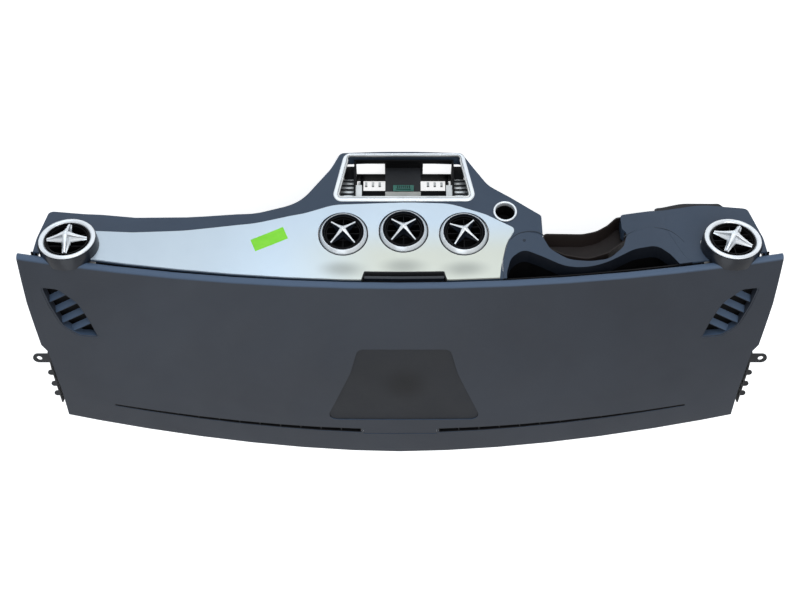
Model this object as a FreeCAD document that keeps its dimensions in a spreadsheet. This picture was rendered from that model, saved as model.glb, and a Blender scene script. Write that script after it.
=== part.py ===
import FreeCAD, Part
import math
import os
from FreeCAD import Placement, Rotation, Vector

# Car dashboard assembly, taken out of the car, in millimetres.
# +X is to the right of someone in the cabin, +Y runs to the windscreen and +Z is up.
# Outlines are drawn from the middle of the lip of the top pad.

document = FreeCAD.newDocument("Dashboard")
sheet = document.addObject("Spreadsheet::Sheet", "Sizes")

# Driving dimensions
SIZES = (
    # top pad
    ("half_width", 721.0, "half the length of the pad at its front corners"),
    ("notch_half", 705.0, "half the length of the pad behind its end notches"),
    ("notch_back", 184.0, "where the end notches start, behind the lip"),
    ("pad_depth", 485.0, "lip to windscreen edge at the middle"),
    ("lip_sweep", 62.0, "how far the face comes forward at 700 mm from the middle"),
    ("pad_sweep", 58.0, "how far the lip of the pad comes forward there"),
    ("lip_setback", 8.0, "lip of the pad behind the zero point at the middle"),
    ("screen_sweep", 100.0, "how far the windscreen edge comes forward there"),
    ("crown", 10.0, "how far the pad falls from the middle to 700 mm out"),
    ("screen_drop", 32.0, "fall of the pad from the lip to the windscreen edge"),
    ("lip_radius", 9.0, "half round of the lip"),
    ("pad_wall", 3.6, "skin, foam and carrier of the pad"),
    ("skirt_drop", 26.0, "depth of the edge under the windscreen side"),
    ("corner_radius", 14.0, "front corners of the pad in plan"),
    # cabin face
    ("face_setback", 9.6, "face behind the lip, level with the underside of the lip"),
    ("lean_middle", 24.0, "lean of the face at the middle, in degrees"),
    ("lean_end", 10.0, "lean of the face at the ends, in degrees"),
    ("lean_inner", 220.0, "the face keeps its middle lean out to here"),
    ("lean_outer", 580.0, "the face has its end lean from here"),
    ("face_wall", 3.0, "wall of the face mouldings"),
    ("flange_depth", 24.0, "depth of the returned edges of the lower panel"),
    ("seam", 0.6, "gap between neighbouring mouldings"),
    ("fit", 0.3, "clearance between pieces that seat on each other"),
    ("panel_half", 693.0, "half the length of the lower panel"),
    ("panel_low", 150.0, "lower edge of the panel under the passenger side"),
    ("stack_low", 294.0, "lower edge of the centre stack"),
    ("stack_half", 139.0, "half the width of the centre stack at its foot"),
    ("trim_wall", 2.5, "wall of the silver trim"),
    ("trim_low", 179.0, "lower edge of the silver trim at the middle"),
    ("trim_end", 590.0, "passenger end of the silver trim"),
    ("trim_driver", 191.0, "driver end of the silver trim"),
    # radio opening
    ("radio_top", 181.0, "upper edge of the radio frame"),
    ("radio_foot", 287.0, "lower edge of the radio frame"),
    ("radio_top_half", 144.5, "half the upper width of the radio frame"),
    ("radio_foot_half", 121.0, "half the lower width of the radio frame"),
    ("radio_shift", 8.0, "how far the radio lies to the driver side"),
    ("frame_bar", 7.5, "width of the upper and lower bars of the radio frame"),
    ("frame_side", 12.0, "width of the side bars of the radio frame"),
    ("frame_stand", 3.0, "how far the radio frame stands out of the face"),
    ("bay_depth", 82.0, "depth of the radio bay behind the face"),
    ("bay_wall", 2.0, "wall of the radio bay"),
    # air vents
    ("centre_ring", 46.5, "outer radius of the rings of the three centre vents"),
    ("centre_bore", 38.0, "bore radius of the three centre vents"),
    ("centre_reach", 11.0, "how far the centre vents stand out of the face"),
    ("centre_rim", 49.0, "radius of the dark foot of the centre vents"),
    ("end_ring", 54.0, "outer radius of the rings of the end vents"),
    ("end_bore", 42.5, "bore radius of the end vents"),
    ("end_reach", 20.6, "how far the end vents stand out of the face"),
    ("end_rim", 56.0, "radius of the dark foot of the end vents"),
    ("end_vent_x", 632.0, "end vents from the middle"),
    ("end_vent_level", 56.0, "end vents below the lip"),
    ("middle_vent_x", -7.0, "middle vent from the middle of the car"),
    ("vent_pitch", 118.0, "spacing of the centre vents"),
    ("middle_vent_level", 119.5, "middle vent below the lip"),
    ("outer_vent_level", 112.0, "its two neighbours below the lip"),
    ("ring_height", 4.6, "height of the bright rings"),
    ("barrel_depth", 42.0, "depth of the vent barrels behind the face"),
    ("barrel_wall", 2.6, "wall of the vent barrels"),
    ("centre_pivot", 2.0, "pivots of the centre vents in front of the face"),
    ("end_pivot", 12.0, "pivots of the end vents in front of the face"),
    ("ball_gap", 0.4, "running clearance of the vent balls"),
    ("gimbal_wall", 1.8, "wall of the gimbal ring"),
    ("gimbal_half", 7.0, "half the height of the gimbal ring"),
    ("nozzle_back", 8.0, "nozzle behind its pivot"),
    ("nozzle_front", 3.0, "nozzle in front of its pivot"),
    ("nozzle_wall", 1.6, "wall of the nozzle ring"),
    ("vane_wall", 1.6, "thickness of the vanes"),
    ("vane_pitch", 15.0, "spacing of the vanes"),
    ("hub_radius", 6.5, "hub of the nozzle"),
    ("pin_radius", 1.4, "pivot pins of the gimbal rings and nozzles"),
    ("stem_radius", 3.0, "stem of the grip"),
    ("stem_gap", 0.05, "running clearance of the stem"),
    ("grip_lift", 4.6, "underside of the grip in front of the pivot"),
    ("grip_peak", 27.0, "top of the grip in front of the pivot"),
    ("grip_root", 3.2, "half the thickness of an arm at the hub"),
    ("grip_tip", 1.7, "half the thickness of an arm at its tip"),
    # start switch
    ("start_x", -207.0, "start switch from the middle"),
    ("start_level", 156.0, "start switch below the lip"),
    ("start_ring_radius", 23.5, "outer radius of its ring"),
    ("start_bore", 18.5, "bore of its socket"),
    ("start_depth", 34.0, "depth of its socket"),
    # display slot
    ("slot_x", -8.0, "display slot from the middle"),
    ("slot_half", 77.0, "half its length"),
    ("slot_low", 35.0, "its lower edge below the lip"),
    ("slot_depth", 48.0, "depth of its tray"),
    # instrument opening and column
    ("cowl_depth", 26.0, "depth of the rim round the instrument opening"),
    ("cluster_depth", 92.0, "depth of the instrument housing"),
    ("column_setback", 34.0, "column wall behind the face"),
    # pad inserts
    ("speaker_front", 166.0, "front edge of the speaker cover behind the lip"),
    ("speaker_back", 372.0, "its back edge"),
    ("speaker_front_half", 92.0, "half its length in front"),
    ("speaker_back_half", 163.0, "half its length at the back"),
    ("speaker_sink", 1.5, "speaker cover below the pad"),
    ("insert_wall", 2.2, "wall of the inserts in the pad"),
    ("slot_back", 75.0, "defroster slots in front of the windscreen edge"),
    ("slot_width", 13.0, "width of the defroster slots"),
    ("slot_inner", 82.0, "inner ends of the defroster slots"),
    ("slot_outer", 596.0, "outer ends of the defroster slots"),
    ("leaf_slats", 4.0, "slats of a side defroster"),
    # end brackets
    ("bracket_hole", 5.5, "radius of the fixing holes in the end brackets"),
    ("bracket_reach", 27.0, "how far the bracket tongues stick out"),
    ("bracket_width", 22.0, "width of the bracket tongues"),
    ("bracket_wall", 3.0, "thickness of the brackets"),
    ("bracket_back", 205.0, "fixing holes behind the lip"),
    ("bracket_level", 19.0, "top of the tongues below the lip"),
    ("bracket_hole_x", 727.0, "fixing holes from the middle"),
)

for row, (alias, value, note) in enumerate(SIZES, start=1):
    sheet.set(f"A{row}", note)
    sheet.set(f"B{row}", str(value))
    sheet.setAlias(f"B{row}", alias)
document.recompute()

VALUE = {alias: float(sheet.get(alias)) for alias, _, _ in SIZES}
PIECES = []


def size(name):
    return VALUE[name]


def cell(name):
    return f"Sizes.{name}"


# Outlines and surfaces

def corner(previous, point, following):
    """The start, middle and end of the arc that rounds one corner."""
    x, z, radius = point
    here = Vector(x, 0, z)
    back = (Vector(previous[0], 0, previous[1]) - here).normalize()
    ahead = (Vector(following[0], 0, following[1]) - here).normalize()
    half = math.acos(max(-1.0, min(1.0, back.dot(ahead)))) / 2
    reach = radius / math.tan(half)
    to_centre = (back + ahead).normalize()
    centre = here + to_centre * (radius / math.sin(half))
    return here + back * reach, centre - to_centre * radius, here + ahead * reach


def outline(points):
    """A closed wire in the XZ plane from (x, z, corner radius) points."""
    edges = []
    runs = []
    for index, point in enumerate(points):
        if point[2] > 0:
            runs.append(corner(points[index - 1], point, points[(index + 1) % len(points)]))
        else:
            runs.append((Vector(point[0], 0, point[1]),) * 3)
    for index, (start, middle, end) in enumerate(runs):
        if (end - start).Length > 1e-6:
            edges.append(Part.Arc(start, middle, end).toShape())
        following = runs[(index + 1) % len(runs)][0]
        if (following - end).Length > 1e-6:
            edges.append(Part.LineSegment(end, following).toShape())
    return Part.Wire(edges)


def mirrored_x(points):
    """The same outline on the other side of the car."""
    return [(-x, z, radius) for x, z, radius in reversed(points)]


def prism(wire, front=-260.0, back=420.0):
    """The outline drawn out along the car."""
    moved = wire.copy()
    moved.translate(Vector(0, front, 0))
    return Part.Face(moved).extrude(Vector(0, back - front, 0))


def grown(wire, distance):
    """The outline moved outwards, or inwards where the distance is below zero."""
    moved = wire.makeOffset2D(distance, 2)
    bigger = Part.Face(moved).Area > Part.Face(wire).Area
    if bigger != (distance > 0):
        moved = wire.makeOffset2D(-distance, 2)
    return moved


def plan_prism(points, low=-120.0, high=60.0):
    """An outline drawn in plan and extruded upwards."""
    wire = outline(points)
    wire.rotate(Vector(0, 0, 0), Vector(1, 0, 0), -90)
    wire.translate(Vector(0, 0, low))
    face = Part.Face(wire)
    return face.extrude(Vector(0, 0, high - low))


def lip_line(x):
    return -size("lip_sweep") * (x / 700.0) ** 2


def nose_line(x):
    """Foremost line of the pad."""
    return size("lip_setback") - size("pad_sweep") * (x / 700.0) ** 2


def screen_line(x):
    return size("pad_depth") - size("screen_sweep") * (abs(x) / 700.0) ** 1.75


def crown_line(x):
    return -size("crown") * (x / 700.0) ** 2


def lean(x):
    """Lean of the cabin face in radians: even in the middle, then easing to the ends."""
    share = (abs(x) - size("lean_inner")) / (size("lean_outer") - size("lean_inner"))
    share = min(max(share, 0.0), 1.0)
    share = share * share * (3 - 2 * share)
    return math.radians(size("lean_middle") + (size("lean_end") - size("lean_middle")) * share)


def face_top(x):
    """Level of the underside of the lip."""
    return crown_line(x) - 2 * size("lip_radius")


def face_line(x, z):
    """Where the cabin face lies at a place along the car and a level."""
    level = -2 * size("lip_radius")
    return lip_line(x) + size("face_setback") - (level - z) * math.tan(lean(x))


STATIONS = (-740, -620, -520, -420, -320, -220, -110, 0, 110, 220, 320, 420, 520, 620, 740)


def face_slab(front, back, low=-330.0):
    """A slab that follows the cabin face, from front to back of its surface."""
    gap = size("fit")
    sections = []
    for x in STATIONS:
        high = face_top(x) - gap
        corners = [
            Vector(x, face_line(x, high) + front, high),
            Vector(x, face_line(x, low) + front, low),
            Vector(x, face_line(x, low) + back, low),
            Vector(x, face_line(x, high) + back, high),
        ]
        sections.append(Part.makePolygon(corners + corners[:1]))
    return Part.makeLoft(sections, True, True)


def pad_curve(x, inset):
    """Lip, top and windscreen edge of the pad at one place along the car."""
    back = screen_line(x) - inset
    top = crown_line(x) - inset
    radius = size("lip_radius") - inset
    nose = nose_line(x) + size("lip_radius")
    edge = crown_line(x) - size("screen_drop") - inset
    span = back - nose
    turns = [math.radians(-90 + 45 * step) for step in range(5)]
    round_points = [
        Vector(x, nose - radius * math.cos(turn), top - radius + radius * math.sin(turn)) for turn in turns
    ]
    lip = Part.BSplineCurve()
    lip.interpolate(Points=round_points, Parameters=[0.0, 0.25, 0.5, 0.75, 1.0])
    points = [
        Vector(x, nose, top),
        Vector(x, nose + 0.3 * span, top + 0.05 * size("crown")),
        Vector(x, nose + 0.62 * span, top - 0.27 * size("screen_drop")),
        Vector(x, back - 8, edge + 3.5),
    ]
    crest = Part.BSplineCurve()
    crest.interpolate(Points=points, Parameters=[0.0, 0.3, 0.62, 1.0])
    screen_edge = Part.Arc(points[-1], Vector(x, back - 2, edge), Vector(x, back, edge - 6))
    return lip, crest, screen_edge


def pad_wire(x, inset):
    """Closed section of the pad, or of the hollow under it where inset is the wall."""
    lip, crest, screen_edge = pad_curve(x, inset)
    nose = lip.StartPoint
    back = screen_edge.EndPoint
    bottom = crown_line(x) - size("screen_drop") - size("skirt_drop")
    ledge = nose.y + 8
    corners = [back, Vector(x, back.y, bottom), Vector(x, ledge, nose.z), nose]
    if inset > 0:
        ledge = ledge + inset
        low = bottom - 40
        corners = [back, Vector(x, back.y, low), Vector(x, ledge, low), Vector(x, ledge, nose.z), nose]
    edges = [lip.toShape(), crest.toShape(), screen_edge.toShape()]
    if inset > 0:
        under = [lip.value(share) for share in (0.0, 0.5, 1.0)]
        under = under + [crest.value(share) for share in (0.33, 0.66, 1.0)] + [back]
        edges = [Part.LineSegment(start, end).toShape() for start, end in zip(under[:-1], under[1:])]
    for start, end in zip(corners[:-1], corners[1:]):
        edges.append(Part.LineSegment(start, end).toShape())
    return Part.Wire(edges)


PAD_STATIONS = (-740, -640, -540, -430, -320, -210, -100, 0, 100, 210, 320, 430, 540, 640, 740)


def pad_plan(inset):
    """Plan of the pad ends: full length in front, notched behind."""
    half = size("half_width") - inset
    behind = size("notch_half") - inset
    notch = size("notch_back")
    radius = size("corner_radius")
    right = [
        (half, -lip_reach() - inset, radius),
        (half, 0.3 * notch, 60.0),
        (half - 6, notch - 18, 8.0),
        (behind, notch - inset, 6.0),
        (behind - 5, 0.62 * size("pad_depth"), 60.0),
        (behind + 1, size("pad_depth") + 60, 0.0),
    ]
    return right + [(-x, y, radius) for x, y, radius in reversed(right)]


def lip_reach():
    """How far the front corners come forward of the zero point."""
    return size("lip_sweep") * (size("half_width") / 700.0) ** 2 + 2.0


def pad_solid(inset):
    """The pad filled in, or the hollow under it where inset is the wall."""
    body = Part.makeLoft([pad_wire(x, inset) for x in PAD_STATIONS], True, True)
    return body.common(plan_prism(pad_plan(inset)))


# The zero point of the finished part is midway between the two fixing holes.
ORIGIN = Vector(0, size("bracket_back"), -size("bracket_level"))


def feature(label, shape):
    """A sub-part whose form comes from the outlines and surfaces above."""
    piece = document.addObject("Part::Feature", label)
    piece.Label = label
    piece.Shape = shape
    piece.Placement = Placement(-ORIGIN, Rotation()).multiply(shape.Placement)
    PIECES.append(piece)
    return piece


# Plan outlines of what is let into the pad

def speaker_plan(gap):
    """Rounded trapezium in front of the windscreen edge."""
    front = size("speaker_front") - gap
    back = size("speaker_back") + gap
    near = size("speaker_front_half") + gap
    far = size("speaker_back_half") + gap
    shift = size("slot_x")
    return [
        (shift - near, front, 14.0 + gap),
        (shift + near, front, 14.0 + gap),
        (shift + 0.66 * far + gap, 0.62 * back, 90.0),
        (shift + far, back, 16.0 + gap),
        (shift - far, back, 16.0 + gap),
        (shift - 0.66 * far - gap, 0.62 * back, 90.0),
    ]


def defroster_line(x):
    """Middle line of the defroster slots, which close on the edge at their outer ends."""
    share = max(0.0, abs(x) - size("slot_inner")) / (size("slot_outer") - size("slot_inner"))
    return screen_line(x) - size("slot_back") + 6 * share


def defroster_plan(side, gap):
    """A long tapering slot along the windscreen edge."""
    inner = size("slot_inner") - gap
    outer = size("slot_outer") + gap
    steps = 6
    front = []
    back = []
    for step in range(steps + 1):
        x = inner + (outer - inner) * step / steps
        half = size("slot_width") / 2 * (1.0 - 0.55 * step / steps) + gap
        radius = 0.0 if step in (0, steps) else 400.0
        front.append((x, defroster_line(x) - half, radius))
        back.append((x, defroster_line(x) + half, radius))
    points = front + back[::-1]
    return points if side > 0 else mirrored_x(points)


def centre_cover_plan(gap):
    """The cover between the two slots."""
    half = size("slot_inner") - 4 + gap
    middle = defroster_line(0.0)
    deep = size("slot_width") / 2 + 2 + gap
    return [
        (-half, middle - deep, 3.0),
        (half, middle - deep, 3.0),
        (half, middle + deep, 3.0),
        (-half, middle + deep, 3.0),
    ]


LEAF = ((688, 15, 6), (654, 19, 24), (620, 52, 60), (603, 100, 60), (593, 141, 5), (634, 138, 24),
        (664, 112, 40), (680, 60, 60))


def leaf_plan(side, gap):
    """Leaf shaped side defroster, with its long point to the windscreen."""
    wire = outline([(x, y, radius) for x, y, radius in LEAF])
    if side < 0:
        wire = wire.mirror(Vector(0, 0, 0), Vector(1, 0, 0))
    if gap:
        wire = grown(wire, gap)
    return wire


def plan_wire_prism(wire, low=-120.0, high=60.0):
    moved = wire.copy()
    moved.rotate(Vector(0, 0, 0), Vector(1, 0, 0), -90)
    moved.translate(Vector(0, 0, low))
    return Part.Face(moved).extrude(Vector(0, 0, high - low))


def pad_skin(top, bottom):
    """The pad's top surface as a sheet between two depths below it."""
    sections = []
    for x in PAD_STATIONS:
        crest = pad_curve(x, 0.0)[1]
        points = [crest.value(step / 6) for step in range(7)]
        upper = [point - Vector(0, 0, top) for point in points]
        lower = [point - Vector(0, 0, bottom) for point in reversed(points)]
        sections.append(Part.makePolygon(upper + lower + upper[:1]))
    return Part.makeLoft(sections, True, True)


def face_place(x, level):
    """Placement with its Z axis square to the face, before the zero point is moved."""
    tilt = 90.0 - math.degrees(lean(x))
    return Placement(Vector(x, face_line(x, -level), -level), Rotation(Vector(1, 0, 0), tilt))


# Top pad and what is let into it

fit = size("fit")
pad = pad_solid(0.0).cut(pad_solid(size("pad_wall")))
speaker_cut = plan_prism(speaker_plan(fit))
slot_cuts = [plan_prism(defroster_plan(side, fit)) for side in (1, -1)]
leaf_cuts = [plan_wire_prism(leaf_plan(side, fit)) for side in (1, -1)]
cover_cut = plan_prism(centre_cover_plan(fit))
barrel_cuts = []
for side in (1, -1):
    sleeve = Part.makeCylinder(size("end_bore") + size("barrel_wall") + fit, 75.0, Vector(0, 0, -60.0))
    sleeve.Placement = face_place(side * size("end_vent_x"), size("end_vent_level"))
    barrel_cuts.append(sleeve)
pad = pad.cut([speaker_cut, cover_cut] + slot_cuts + leaf_cuts + barrel_cuts)
feature("top_pad", pad)

skin = pad_skin(size("speaker_sink"), size("speaker_sink") + size("insert_wall"))
speaker = skin.common(plan_prism(speaker_plan(0.0)))
rim = pad_skin(size("speaker_sink"), 14.0)
rim = rim.common(plan_prism(speaker_plan(0.0)).cut(plan_prism(speaker_plan(-size("insert_wall")))))
feature("speaker_cover", speaker.fuse(rim).removeSplitter())

thin_skin = pad_skin(0.6, 0.6 + size("insert_wall"))
deep_skin = pad_skin(0.6, 16.0)
feature("defroster_centre_cover", thin_skin.common(plan_prism(centre_cover_plan(0.0))))


def defroster_grille(side):
    """Frame of the long slot with cross bars across it."""
    outside = plan_prism(defroster_plan(side, 0.0))
    inside = plan_prism(defroster_plan(side, -1.6))
    frame = deep_skin.common(outside.cut(inside))
    bars = []
    count = 12
    for index in range(1, count):
        x = size("slot_inner") + (size("slot_outer") - size("slot_inner")) * index / count
        bar = Part.makeBox(2.0, 40.0, 120.0, Vector(side * x - 1.0, defroster_line(x) - 20.0, -90.0))
        bars.append(bar)
    bars = pad_skin(2.0, 12.0).common(outside.common(Part.makeCompound(bars)))
    return frame.fuse(bars).removeSplitter()


feature("defroster_grille_passenger", defroster_grille(1))
feature("defroster_grille_driver", defroster_grille(-1))


def side_defroster(side):
    """Leaf shaped frame with louvre slats set across it."""
    outside = plan_wire_prism(leaf_plan(side, 0.0))
    inside = plan_wire_prism(leaf_plan(side, -3.0))
    frame = pad_skin(0.4, 18.0).common(outside.cut(inside))
    count = int(size("leaf_slats"))
    slats = []
    for index in range(count):
        share = (index + 1) / (count + 1)
        x = 676 - 70 * share
        y = 22 + 112 * share
        slat = Part.makeBox(110.0, 3.0, 14.0, Vector(-55.0, -1.5, -7.0))
        slat.rotate(Vector(0, 0, 0), Vector(1, 0, 0), -38)
        slat.rotate(Vector(0, 0, 0), Vector(0, 0, 1), 28)
        slat.translate(Vector(x, y, crown_line(x) - 11.0))
        if side < 0:
            slat = slat.mirror(Vector(0, 0, 0), Vector(1, 0, 0))
        slats.append(slat)
    blades = Part.makeCompound(slats).common(outside)
    return frame.fuse(blades).removeSplitter()


feature("side_defroster_passenger", side_defroster(1))
feature("side_defroster_driver", side_defroster(-1))


# Outlines on the cabin face, as (x, level, corner radius)

panel = size("panel_half")
stack = size("stack_half")
foot = size("stack_low")
low = size("panel_low")
seam = size("seam")
top = 40.0

CLUSTER_OUTER = [
    (-198.0, top, 0.0), (-198.0, -54.0, 30.0), (-212.0, -100.0, 26.0), (-243.0, -115.0, 22.0),
    (-276.0, -106.0, 12.0), (-290.0, -76.0, 30.0), (-324.0, -52.0, 60.0), (-364.0, -46.0, 90.0),
    (-402.0, -49.0, 40.0), (-432.0, -76.0, 20.0), (-442.0, -106.0, 24.0), (-488.0, -123.0, 26.0),
    (-520.0, -114.0, 30.0), (-543.0, -40.0, 60.0), (-563.0, -14.0, 0.0), (-563.0, top, 0.0),
]
CLUSTER_INNER = [
    (-204.5, top, 0.0), (-204.5, -30.0, 40.0), (-214.0, -60.0, 26.0), (-239.0, -77.0, 24.0),
    (-272.0, -62.0, 60.0), (-315.0, -39.0, 90.0), (-360.0, -31.0, 120.0), (-402.0, -44.0, 90.0),
    (-452.0, -69.0, 60.0), (-496.0, -75.0, 26.0), (-518.0, -50.0, 40.0), (-534.0, -18.0, 30.0),
    (-552.0, -2.0, 0.0), (-552.0, top, 0.0),
]
PANEL = [
    (panel, top, 0.0), (panel, -62.0, 60.0), (panel - 9.0, 12.0 - low, 12.0), (585.0, 4.0 - low, 90.0),
    (386.0, 1.0 - low, 400.0), (285.0, -2.0 - low, 160.0), (200.0, -24.0 - low, 90.0),
    (stack, 42.0 - foot, 90.0), (stack - 18.0, 6.0 - foot, 14.0), (0.0, -foot, 1200.0),
    (-stack + 14.0, 6.0 - foot, 14.0), (-stack - 6.0, 36.0 - foot, 60.0), (-176.0, -24.0 - 190.0, 60.0),
    (-232.0, -178.0, 120.0), (-278.0, 2.0 - low, 8.0), (-278.0, -100.0, 0.0), (-278.0, top, 0.0),
]
DRIVER_PANEL = [
    (-441.0, top, 0.0), (-441.0, -110.0, 0.0), (-434.0, -120.0, 0.0), (-434.0, -154.0, 8.0), (-495.0, -165.0, 120.0), (-600.0, -172.0, 120.0),
    (-panel + 14.0, -146.0, 14.0), (-panel, -62.0, 60.0), (-panel, top, 0.0),
]
TRIM = [
    (size("trim_end"), top, 0.0), (size("trim_end"), -98.0, 0.0), (430.0, -112.0, 500.0),
    (285.0, -128.0, 300.0), (185.0, -152.0, 200.0), (130.0, -172.0, 120.0),
    (-8.0, -size("trim_low"), 500.0), (-100.0, -175.0, 120.0), (-168.0, -150.0, 60.0),
    (-225.5, -118.0, 8.0), (-205.0, -84.0, 40.0), (-194.0, -40.0, 60.0),
    (-size("trim_driver"), -20.0, 20.0), (-size("trim_driver"), top, 0.0),
]
slot_x = size("slot_x")
slot_half = size("slot_half")
SLOT = [
    (slot_x - slot_half, -size("slot_low"), 3.0), (slot_x + slot_half, -size("slot_low"), 3.0),
    (slot_x + slot_half + 8.0, -10.0, 0.0), (slot_x + slot_half + 8.0, top, 0.0),
    (slot_x - slot_half - 8.0, top, 0.0), (slot_x - slot_half - 8.0, -10.0, 0.0),
]


def radio_outline(grow):
    """Trapezium of the radio frame; grow moves every side out."""
    high = -size("radio_top") + grow
    bottom_level = -size("radio_foot") - grow
    top_half = size("radio_top_half") + grow
    foot_half = size("radio_foot_half") + grow
    middle = -size("radio_shift")
    radius = max(4.0, 16.0 + grow)
    return [
        (middle - top_half, high, radius), (middle + top_half, high, radius),
        (middle + foot_half, bottom_level, radius), (middle - foot_half, bottom_level, radius),
    ]


RADIO_OPEN = [
    (-size("radio_shift") - size("radio_top_half") + size("frame_side"), -size("radio_top") - size("frame_bar"), 8.0),
    (-size("radio_shift") + size("radio_top_half") - size("frame_side"), -size("radio_top") - size("frame_bar"), 8.0),
    (-size("radio_shift") + size("radio_foot_half") - size("frame_side"), -size("radio_foot") + size("frame_bar"), 8.0),
    (-size("radio_shift") - size("radio_foot_half") + size("frame_side"), -size("radio_foot") + size("frame_bar"), 8.0),
]



def between(front, back, points):
    """The part of the face slab inside an outline."""
    return face_slab(front, back).common(prism(outline(points)))


def band(outside, inside, front, back):
    """What lies between two outlines, through the face slab."""
    return face_slab(front, back).common(prism(outside)).cut(prism(inside))


def edge_flange(points, wall, front, back):
    """Returned edge that follows an outline, wall thick."""
    wire = outline(points)
    return band(wire, grown(wire, -wall), front, back)


wall = size("face_wall")
trim_wall = size("trim_wall")
trim_back = -fit
trim_front = -fit - trim_wall


# Air vents: each one stands square to the face at its place

VENTS = (
    ("passenger_vent", size("end_vent_x"), size("end_vent_level"), "end", 3.0),
    ("centre_vent_right", size("middle_vent_x") + size("vent_pitch"), size("outer_vent_level"), "centre", 45.0),
    ("centre_vent_middle", size("middle_vent_x"), size("middle_vent_level"), "centre", 45.0),
    ("centre_vent_left", size("middle_vent_x") - size("vent_pitch"), size("outer_vent_level"), "centre", 55.0),
    ("driver_vent", -size("end_vent_x"), size("end_vent_level"), "end", 60.0),
)


def vent_hole(vent, radius):
    name, x, level, kind, turn = vent
    hole = Part.makeCylinder(radius, 200.0, Vector(0, 0, -100.0))
    hole.Placement = face_place(x, level)
    return hole


vent_holes = [vent_hole(vent, size(vent[3] + "_rim") + fit) for vent in VENTS]


# Lower panel, driver panel, trim and instrument surround

cluster_wire = outline(CLUSTER_OUTER)
cluster_cut = prism(grown(cluster_wire, seam))
radio_cut = prism(outline(radio_outline(-3.0)))
start_hole = Part.makeCylinder(size("start_bore") + 2.0 + fit, 120.0, Vector(0, 0, -60.0))
start_hole.Placement = face_place(size("start_x"), size("start_level"))
slot_cut = prism(outline(SLOT))

panel_shape = between(0.0, wall, PANEL).fuse(edge_flange(PANEL, wall, wall - 0.5, size("flange_depth")))
panel_shape = panel_shape.cut(vent_holes + [cluster_cut, radio_cut, start_hole, slot_cut])
feature("lower_panel", panel_shape.removeSplitter())

driver_shape = between(0.0, wall, DRIVER_PANEL)
driver_shape = driver_shape.fuse(edge_flange(DRIVER_PANEL, wall, wall - 0.5, size("flange_depth")))
driver_shape = driver_shape.cut([vent_holes[4], cluster_cut])
feature("driver_panel", driver_shape.removeSplitter())

trim_shape = between(trim_front, trim_back, TRIM).cut(vent_holes + [slot_cut, cluster_cut])
start_ring_hole = Part.makeCylinder(size("start_ring_radius") + fit, 120.0, Vector(0, 0, -60.0))
start_ring_hole.Placement = face_place(size("start_x"), size("start_level"))
trim_shape = trim_shape.cut(start_ring_hole)
feature("trim_panel", trim_shape.removeSplitter())

surround = between(-0.5, wall - 0.5, CLUSTER_OUTER).cut(prism(outline(CLUSTER_INNER)))
cowl = band(grown(outline(CLUSTER_INNER), wall), outline(CLUSTER_INNER), wall - 1.0, size("cowl_depth"))
cowl = cowl.common(prism(cluster_wire))
feature("cluster_surround", surround.fuse(cowl).removeSplitter())


# Instrument housing and column wall behind the openings

def box_behind(points, wall_now, front, back, back_wall):
    """Open box that follows an outline, with a wall at its back."""
    wire = outline(points)
    sides = band(wire, grown(wire, -wall_now), front, back)
    rear = face_slab(back - back_wall, back).common(prism(wire))
    return sides.fuse(rear)


CLUSTER_BOX = [
    (-196.0, top, 0.0), (-196.0, -50.0, 14.0), (-222.0, -86.0, 14.0), (-256.0, -84.0, 14.0),
    (-306.0, -50.0, 30.0), (-362.0, -36.0, 60.0), (-410.0, -54.0, 40.0), (-470.0, -84.0, 30.0),
    (-514.0, -82.0, 14.0), (-540.0, -40.0, 20.0), (-556.0, top, 0.0),
]
cowl_depth = size("cowl_depth")
cluster_box = box_behind(CLUSTER_BOX, 2.5, cowl_depth + fit, cowl_depth + size("cluster_depth"), 2.5)
for window_x in (-262.0, -380.0, -490.0):
    window = Part.makeBox(48.0, 120.0, 14.0, Vector(window_x - 24.0, 60.0, -40.0))
    cluster_box = cluster_box.cut(window)
feature("cluster_housing", cluster_box)

COLUMN = [
    (-278.6, -84.0, 0.0), (-278.6, -136.0, 10.0), (-348.0, -138.0, 60.0), (-398.0, -156.0, 60.0),
    (-433.5, -176.0, 10.0), (-433.5, -96.0, 8.0), (-402.0, -70.0, 14.0), (-362.0, -58.0, 40.0),
    (-318.0, -68.0, 40.0),
]
setback = size("column_setback")
column_shape = between(setback, setback + 2.5, COLUMN)
column_rim = edge_flange(COLUMN, 2.5, wall + fit, setback + 0.5)
column_rim = column_rim.cut(prism(grown(cluster_wire, 1.0), -260.0, 0.0))
column_rim = column_rim.cut(face_slab(-60.0, cowl_depth + 6.0).common(prism(grown(cluster_wire, 1.0))))
feature("column_wall", column_shape.fuse(column_rim).removeSplitter())

SWITCH_BOX = [
    (-498.0, -150.0, 0.0), (-506.0, -176.0, 10.0), (-560.0, -184.0, 80.0), (-630.0, -174.0, 10.0),
    (-646.0, -150.0, 0.0),
]
switch_box = between(3.0, 40.0, SWITCH_BOX).cut(prism(grown(outline(DRIVER_PANEL), fit)))
feature("light_switch_box", switch_box)

TRAY = [(x, level, radius) for x, level, radius in SLOT]
tray_wire = grown(outline(TRAY), -fit)
tray_sides = band(tray_wire, grown(tray_wire, -2.0), trim_front, size("slot_depth"))
tray_back = face_slab(size("slot_depth") - 2.0, size("slot_depth")).common(prism(tray_wire))
feature("display_tray", tray_sides.fuse(tray_back).removeSplitter())

shelf = face_slab(-1.0, 12.0).common(prism(outline([
    (slot_x - slot_half + 0.1, -22.0, 2.0), (slot_x + slot_half - 0.1, -22.0, 2.0),
    (slot_x + slot_half - 0.1, -27.0, 2.0), (slot_x - slot_half + 0.1, -27.0, 2.0)])))
feature("display_flap", shelf)


# Radio frame and what lies in its bay

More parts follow.
